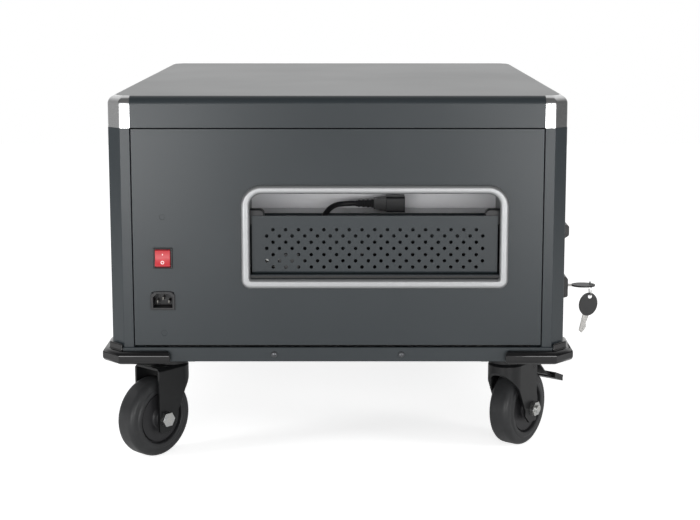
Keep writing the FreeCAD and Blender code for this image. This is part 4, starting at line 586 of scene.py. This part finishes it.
# Soft PVC sheath: matt black with a low sheen and the slight draw lines of extrusion.
cord_pvc, place = new_material("extruded_black_pvc")
draw = add_node(cord_pvc, "ShaderNodeTexNoise", {"Scale": 1 / (1.6 * MM), "Detail": 2.0},
                {"Vector": place})
tone = add_node(cord_pvc, "ShaderNodeMixRGB",
                {"Color1": to_linear("101011"), "Color2": to_linear("1b1b1d")},
                {"Fac": draw.outputs["Fac"]})
lines = add_node(cord_pvc, "ShaderNodeBump", {"Strength": 0.2, "Distance": 0.05 * MM},
                 {"Height": draw.outputs["Fac"]})
close_material(cord_pvc, {"Roughness": 0.4},
               {"Base Color": tone.outputs["Color"], "Normal": lines.outputs["Normal"]})

lead_curve = bpy.data.curves.new("mains_lead", "CURVE")
lead_curve.dimensions = "3D"
lead_curve.bevel_depth = LEAD / 2 * MM
lead_curve.bevel_resolution = 4
lead_curve.resolution_u = 6
lead_line = lead_curve.splines.new("NURBS")
lead_line.points.add(len(lead_points) - 1)
for point, spot in zip(lead_line.points, lead_points):
    point.co = (spot[0] * MM, spot[1] * MM, spot[2] * MM, 1)
lead_line.order_u = 3
lead_line.use_endpoint_u = True
lead_curve.use_fill_caps = True
lead_curve.materials.append(cord_pvc)
mains_lead = bpy.data.objects.new("mains_lead", lead_curve)
bpy.context.scene.collection.objects.link(mains_lead)

# Moulded PVC of plug and connector: a little harder and duller than the sheath.
moulded_pvc, place = new_material("moulded_black_pvc")
grit = add_node(moulded_pvc, "ShaderNodeTexNoise", {"Scale": 1 / (1.1 * MM), "Detail": 2.0},
                {"Vector": place})
tone = add_node(moulded_pvc, "ShaderNodeMixRGB",
                {"Color1": to_linear("131314"), "Color2": to_linear("202022")},
                {"Fac": grit.outputs["Fac"]})
etch = add_node(moulded_pvc, "ShaderNodeBump", {"Strength": 0.3, "Distance": 0.06 * MM},
                {"Height": grit.outputs["Fac"]})
close_material(moulded_pvc, {"Roughness": 0.46},
               {"Base Color": tone.outputs["Color"], "Normal": etch.outputs["Normal"]})
connector = finished_node("lead_connector", "appliance_connector", moulded_pvc,
                          edge=0.6)
plug = finished_node("lead_plug", "mains_plug", moulded_pvc, edge=0.6)
plug_pins = finished_node("lead_plug_pins", "mains_plug_pins", bright_zinc, edge=0.3)
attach(mains_lead, "cabinet")
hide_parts("lead_hank", "lead_cord")


# Rocker switch and mains inlet: snap-in mouldings of black ABS. The rocker is a red
# translucent moulding with its two marks printed in white, and the inlet has three flat
# brass pins, their metal coloured dark as painted shade from the socket around them.
SWITCH_X, SWITCH_Y, SWITCH_Z = -214.0, -340.0, 261.5
ROCKER_TILT, ROCKER_SLOPE, ROCKER_VALLEY = 82.0, 16.8, 3.4
MARK_THICK = 0.16
BAR_REACH, BAR_WIDE, BAR_LONG = 4.6, 0.9, 1.8
RING_REACH, RING_IN, RING_OUT, RING_SIDES = -5.2, 1.35, 2.15, 32
finished_node("switch_housing", "switch_bezel", black_abs, edge=0.4)
finished_node("inlet_socket", "inlet_moulding", black_abs, edge=0.4)

# Pin brass: a grey metal darkened as painted shade from the socket around the pins, and
# clouded where a connector has slid over it.
brass_darkened_as_shade, place = new_material("brass_darkened_as_shade")
cloud = add_node(brass_darkened_as_shade, "ShaderNodeTexNoise", {"Scale": 1 / (2 * MM), "Detail": 2.0},
                 {"Vector": place})
tone = add_node(brass_darkened_as_shade, "ShaderNodeMixRGB",
                {"Color1": to_linear("5c5b58"), "Color2": to_linear("7e7c78")},
                {"Fac": cloud.outputs["Fac"]})
close_material(brass_darkened_as_shade, {"Metallic": 1.0, "Roughness": 0.45},
               {"Base Color": tone.outputs["Color"]})
finished_node("inlet_pins", "inlet_pin_set", brass_darkened_as_shade, edge=0.3)

# Red polycarbonate: glossy and a little see-through, deeper in tone away from the light.
red_lens, place = new_material("red_polycarbonate")
depth = add_node(red_lens, "ShaderNodeTexNoise", {"Scale": 1 / (9 * MM), "Detail": 1.0},
                 {"Vector": place})
tone = add_node(red_lens, "ShaderNodeMixRGB",
                {"Color1": to_linear("a52027"), "Color2": to_linear("b8363e")},
                {"Fac": depth.outputs["Fac"]})
close_material(red_lens, {"Roughness": 0.34, "IOR": 1.58, "Subsurface Weight": 0.25,
                          "Subsurface Scale": 1.5 * MM}, {"Base Color": tone.outputs["Color"]})
finished_node("switch_rocker", "rocker", red_lens, edge=0.5)

# White pad-printing ink: flat, a little uneven in cover.
print_ink, place = new_material("white_pad_print")
cover = add_node(print_ink, "ShaderNodeTexNoise", {"Scale": 1 / (0.6 * MM), "Detail": 2.0},
                 {"Vector": place})
tone = add_node(print_ink, "ShaderNodeMixRGB",
                {"Color1": to_linear("e9d9d8"), "Color2": to_linear("fbf6f5")},
                {"Fac": cover.outputs["Fac"]})
close_material(print_ink, {"Roughness": 0.5}, {"Base Color": tone.outputs["Color"]})
marks = bmesh.new()
tilt = Matrix.Rotation(math.radians(ROCKER_TILT), 4, "X")
hinge = Matrix.Translation(Vector((SWITCH_X, SWITCH_Y, SWITCH_Z)) * MM) @ tilt
lay = []
for reach, slope in ((BAR_REACH, ROCKER_SLOPE), (RING_REACH, -ROCKER_SLOPE)):
    rise = ROCKER_VALLEY + abs(reach) * math.tan(math.radians(ROCKER_SLOPE))
    face_spot = Matrix.Translation(Vector((0, reach, rise)) * MM)
    lay.append(hinge @ face_spot @ Matrix.Rotation(math.radians(slope), 4, "X"))
bar = bmesh.ops.create_cube(marks, size=1)["verts"]
bmesh.ops.scale(marks, vec=Vector((BAR_WIDE, BAR_LONG, MARK_THICK)) * MM, verts=bar)
bmesh.ops.transform(marks, matrix=lay[0], verts=bar)
half_thick = MARK_THICK / 2
turn_profile(marks, [(RING_IN, -half_thick), (RING_OUT, -half_thick), (RING_OUT, half_thick),
                     (RING_IN, half_thick)], (0, 0, 1), RING_SIDES)
bmesh.ops.transform(marks, matrix=lay[1], verts=[v for v in marks.verts if v not in bar])
bmesh.ops.recalc_face_normals(marks, faces=marks.faces)
add_piece(marks, "rocker_marks", [print_ink], "rocker", [])


# Lid: a deep pressed cover with a rolled edge, set on the posts and coated with the same
# powder. Four pressed corner caps are let in flush where its edges meet.
CAP_FOLD, CAP_FOLD_SIDES = 1.6, 4
FOLD_LEAST, FOLD_MOST = math.radians(14), math.radians(46)
finished_node("top_cover", "lid_coated", body_coat, smooth=35, edge=0.4)

# Polished plated steel: a bright mirror with the hair-fine lines of the polishing wheel,
# drawn coarser than they are so that they show.
polished_cap, place = new_material("polished_plated_steel")
stretch = add_node(polished_cap, "ShaderNodeMapping", {"Scale": (1, 1, 14)}, {"Vector": place})
lines = add_node(polished_cap, "ShaderNodeTexNoise", {"Scale": 1 / (6 * MM), "Detail": 3.0},
                 {"Vector": stretch.outputs["Vector"]})
tone = add_node(polished_cap, "ShaderNodeMixRGB",
                {"Color1": to_linear("dedfe0"), "Color2": to_linear("ebebeb")},
                {"Fac": lines.outputs["Fac"]})
gloss = add_node(polished_cap, "ShaderNodeMapRange", {**SPREAD, "To Min": 0.14, "To Max": 0.17},
                 {"Value": lines.outputs["Fac"]})
close_material(polished_cap, {"Metallic": 1.0},
               {"Base Color": tone.outputs["Color"], "Roughness": gloss.outputs["Result"]})
caps = node_form("top_corner_caps")
folds = []
for edge in caps.edges:
    if edge.is_convex and FOLD_LEAST < edge.calc_face_angle() < FOLD_MOST:
        folds.append(edge)
bmesh.ops.bevel(caps, geom=folds, offset=CAP_FOLD * MM, affect="EDGES", segments=CAP_FOLD_SIDES,
                profile=0.5, material=-1)
add_piece(caps, "lid_corner_caps", [polished_cap], "cabinet", ["top_corner_caps"],
          smooth=30)


# Door furniture: lift-off steel hinges on the outside, a moulded pull bonded on the door
# and a cam lock through its foot, with its keeper on the bulkhead behind.
finished_node("hinge_post_leaves", "hinge_leaves_post", black_enamel, edge=0.3)
finished_node("hinge_door_leaves", "hinge_leaves_door", black_enamel, edge=0.3)
finished_node("hinge_pins", "hinge_pin_pair", bright_zinc, edge=0.3)
finished_node("door_pull", "door_pull_moulding", black_abs, smooth=40, edge=0.5)
for node in ("lock_barrel", "lock_plug", "lock_cam", "lock_keeper"):
    finished_node(node, node + "_plated", bright_zinc, edge=0.3)


# Keys: nickel-plated brass blades with heads moulded over in black plastic; one stands in
# the lock and the spare hangs from its eye on a wire ring.
HEAD_START = 304.5
SPARE_EYE = Vector((330.3, -213.4, 186.1))
SPARE_HEAD = 26.2

# Nickel plate: a warm grey mirror, scuffed to a soft sheen by the pocket.
key_nickel, place = new_material("nickel_plated_brass")
scuff = add_node(key_nickel, "ShaderNodeTexNoise", {"Scale": 1 / (1.5 * MM), "Detail": 3.0},
                 {"Vector": place})
tone = add_node(key_nickel, "ShaderNodeMixRGB",
                {"Color1": to_linear("8f8e8c"), "Color2": to_linear("bdbbb8")},
                {"Fac": scuff.outputs["Fac"]})
gloss = add_node(key_nickel, "ShaderNodeMapRange", {**SPREAD, "To Min": 0.22, "To Max": 0.42},
                 {"Value": scuff.outputs["Fac"]})
close_material(key_nickel, {"Metallic": 1.0},
               {"Base Color": tone.outputs["Color"], "Roughness": gloss.outputs["Result"]})
for node in ("key", "spare_key"):
    form = node_form(node)
    for face in form.faces:
        spot = face.calc_center_median() / MM
        head = spot.x > HEAD_START if node == "key" else (spot - SPARE_EYE).length < SPARE_HEAD
        face.material_index = 1 if head else 0
    add_piece(form, node + "_plated", [key_nickel, black_abs],
              frame["nodes"][node]["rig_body"], [node], edge=0.25)
finished_node("key_ring", "key_ring_wire", bright_zinc, smooth=50, edge=0.3)


# Inside: a bulkhead behind the pocket, a rack of upright dividers on the floor for the
# devices and a power rail along the back wall, screwed to the body's folds.
for node in ("service_bulkhead", "rack_base", "rack_dividers"):
    finished_node(node, node + "_coated", pale_coat, edge=0.3)
finished_node("socket_rail", "power_rail", black_abs, edge=0.4)


# Studio: white floor paper that runs out of the picture, two low soft boxes in front that
# show in the gloss, side and fill boxes that only light, and a white surround.
PAPER_HALF_X, PAPER_HALF_Y = 2400, 3200
PAPER_GLOW, PAPER_GLOW_MIRRORED = 0.68, 0.12

# Floor paper: flat white and a little cloudy, lifted for the camera to the picture's white.
floor_paper, place = new_material("white_studio_paper")
fibre = add_node(floor_paper, "ShaderNodeTexNoise", {"Scale": 1 / (160 * MM)}, {"Vector": place})
tone = add_node(floor_paper, "ShaderNodeMixRGB",
                {"Color1": to_linear("e2e2e2"), "Color2": to_linear("e6e6e6")},
                {"Fac": fibre.outputs["Fac"]})
matt = add_node(floor_paper, "ShaderNodeBsdfDiffuse", None, {"Color": tone.outputs["Color"]})
path = add_node(floor_paper, "ShaderNodeLightPath")
mirrored = add_node(floor_paper, "ShaderNodeMath",
                    {"operation": "MULTIPLY", 1: PAPER_GLOW_MIRRORED},
                    {0: path.outputs["Is Glossy Ray"]})
seen = add_node(floor_paper, "ShaderNodeMath", {"operation": "MAXIMUM"},
                {0: path.outputs["Is Camera Ray"], 1: mirrored.outputs["Value"]})
lifted = add_node(floor_paper, "ShaderNodeMath", {"operation": "MULTIPLY", 1: PAPER_GLOW},
                  {0: seen.outputs["Value"]})
glow = add_node(floor_paper, "ShaderNodeEmission", None, {"Strength": lifted.outputs["Value"]})
both = add_node(floor_paper, "ShaderNodeAddShader", None,
                {0: matt.outputs["BSDF"], 1: glow.outputs["Emission"]})
add_node(floor_paper, "ShaderNodeOutputMaterial", None, {"Surface": both.outputs["Shader"]})
paper = bmesh.new()
bmesh.ops.create_grid(paper, x_segments=8, y_segments=8, size=1)
bmesh.ops.scale(paper, vec=(PAPER_HALF_X * MM, PAPER_HALF_Y * MM, 1), verts=paper.verts)
paper_mesh = bpy.data.meshes.new("studio_floor")
paper.to_mesh(paper_mesh)
paper.free()
paper_mesh.materials.append(floor_paper)
floor = bpy.data.objects.new("studio_floor", paper_mesh)
bpy.context.scene.collection.objects.link(floor)

# Surround: an even soft light, white to the camera. In reflections it is white at the
# horizon and dims overhead, sooner in front than behind, and towards the two sides.
EVEN_LIGHT, DIM_START, DIM_END_FRONT, DIM_END_BACK = 0.55, 0.06, 0.36, 2.0
DIM_TOP, DIM_RIGHT, DIM_LEFT = 0.14, 0.14, 0.34
BEHIND, SIDE_START, SIDE_END = 0.3, 0.55, 0.95
surround = bpy.data.worlds.new("white_surround")
bpy.context.scene.world = surround
surround.use_nodes = True
surround.node_tree.nodes.clear()
toward = add_node(surround, "ShaderNodeTexCoord").outputs["Generated"]
axes = add_node(surround, "ShaderNodeSeparateXYZ", None, {"Vector": toward})
dim_end = add_node(surround, "ShaderNodeMapRange",
                   {"From Min": -BEHIND, "From Max": BEHIND, "To Min": DIM_END_FRONT,
                    "To Max": DIM_END_BACK}, {"Value": axes.outputs["Y"]})
height = add_node(surround, "ShaderNodeMapRange",
                  {"From Min": DIM_START, "To Min": 1.0, "To Max": DIM_TOP},
                  {"Value": axes.outputs["Z"], "From Max": dim_end.outputs["Result"]})
right = add_node(surround, "ShaderNodeMapRange",
                 {"From Min": SIDE_START, "From Max": SIDE_END, "To Min": 1.0,
                  "To Max": DIM_RIGHT}, {"Value": axes.outputs["X"]})
left = add_node(surround, "ShaderNodeMapRange",
                {"From Min": -SIDE_START, "From Max": -SIDE_END, "To Min": 1.0,
                 "To Max": DIM_LEFT}, {"Value": axes.outputs["X"]})
sides = add_node(surround, "ShaderNodeMath", {"operation": "MULTIPLY"},
                 {0: right.outputs["Result"], 1: left.outputs["Result"]})
level = add_node(surround, "ShaderNodeMath", {"operation": "MULTIPLY"},
                 {0: height.outputs["Result"], 1: sides.outputs["Value"]})
path = add_node(surround, "ShaderNodeLightPath")
light = add_node(surround, "ShaderNodeMapRange", {"To Min": EVEN_LIGHT},
                 {"Value": path.outputs["Is Glossy Ray"], "To Max": level.outputs["Value"]})
seen = add_node(surround, "ShaderNodeMath", {"operation": "MAXIMUM"},
                {0: path.outputs["Is Camera Ray"], 1: path.outputs["Is Transmission Ray"]})
strength = add_node(surround, "ShaderNodeMath", {"operation": "MAXIMUM"},
                    {0: light.outputs["Result"], 1: seen.outputs["Value"]})
sky = add_node(surround, "ShaderNodeBackground", {"Color": (1, 1, 1, 1)},
               {"Strength": strength.outputs["Value"]})
add_node(surround, "ShaderNodeOutputWorld", None, {"Surface": sky.outputs["Background"]})

# Lamps: each one's place, what it is aimed at, its width and height, and its power in watts.
# The soft boxes end below the lid's top, so that it never mirrors them.
LAMPS = {
    "left_soft_box": ((-730, -1950, 250), (-100, -300, 250), 700, 400, 6.6),
    "right_soft_box": ((750, -1950, 250), (100, -300, 250), 700, 400, 6.1),
    "left_side_box": ((-1750, -880, 500), (-290, -340, 300), 500, 800, 18),
    "right_side_box": ((1800, -900, 500), (290, -340, 300), 500, 800, 14),
    "front_fill_box": ((0, -1950, 520), (0, -300, 320), 1200, 500, 8),
}
for name, (spot, aim, wide, tall, power) in LAMPS.items():
    lamp = bpy.data.lights.new(name, "AREA")
    lamp.shape = "RECTANGLE"
    lamp.size = wide * MM
    lamp.size_y = tall * MM
    lamp.energy = power
    holder = bpy.data.objects.new(name, lamp)
    bpy.context.scene.collection.objects.link(holder)
    holder.visible_glossy = name.endswith("soft_box")
    holder.location = Vector(spot) * MM
    holder.rotation_euler = (Vector(aim) - Vector(spot)).to_track_quat("-Z", "Y").to_euler()
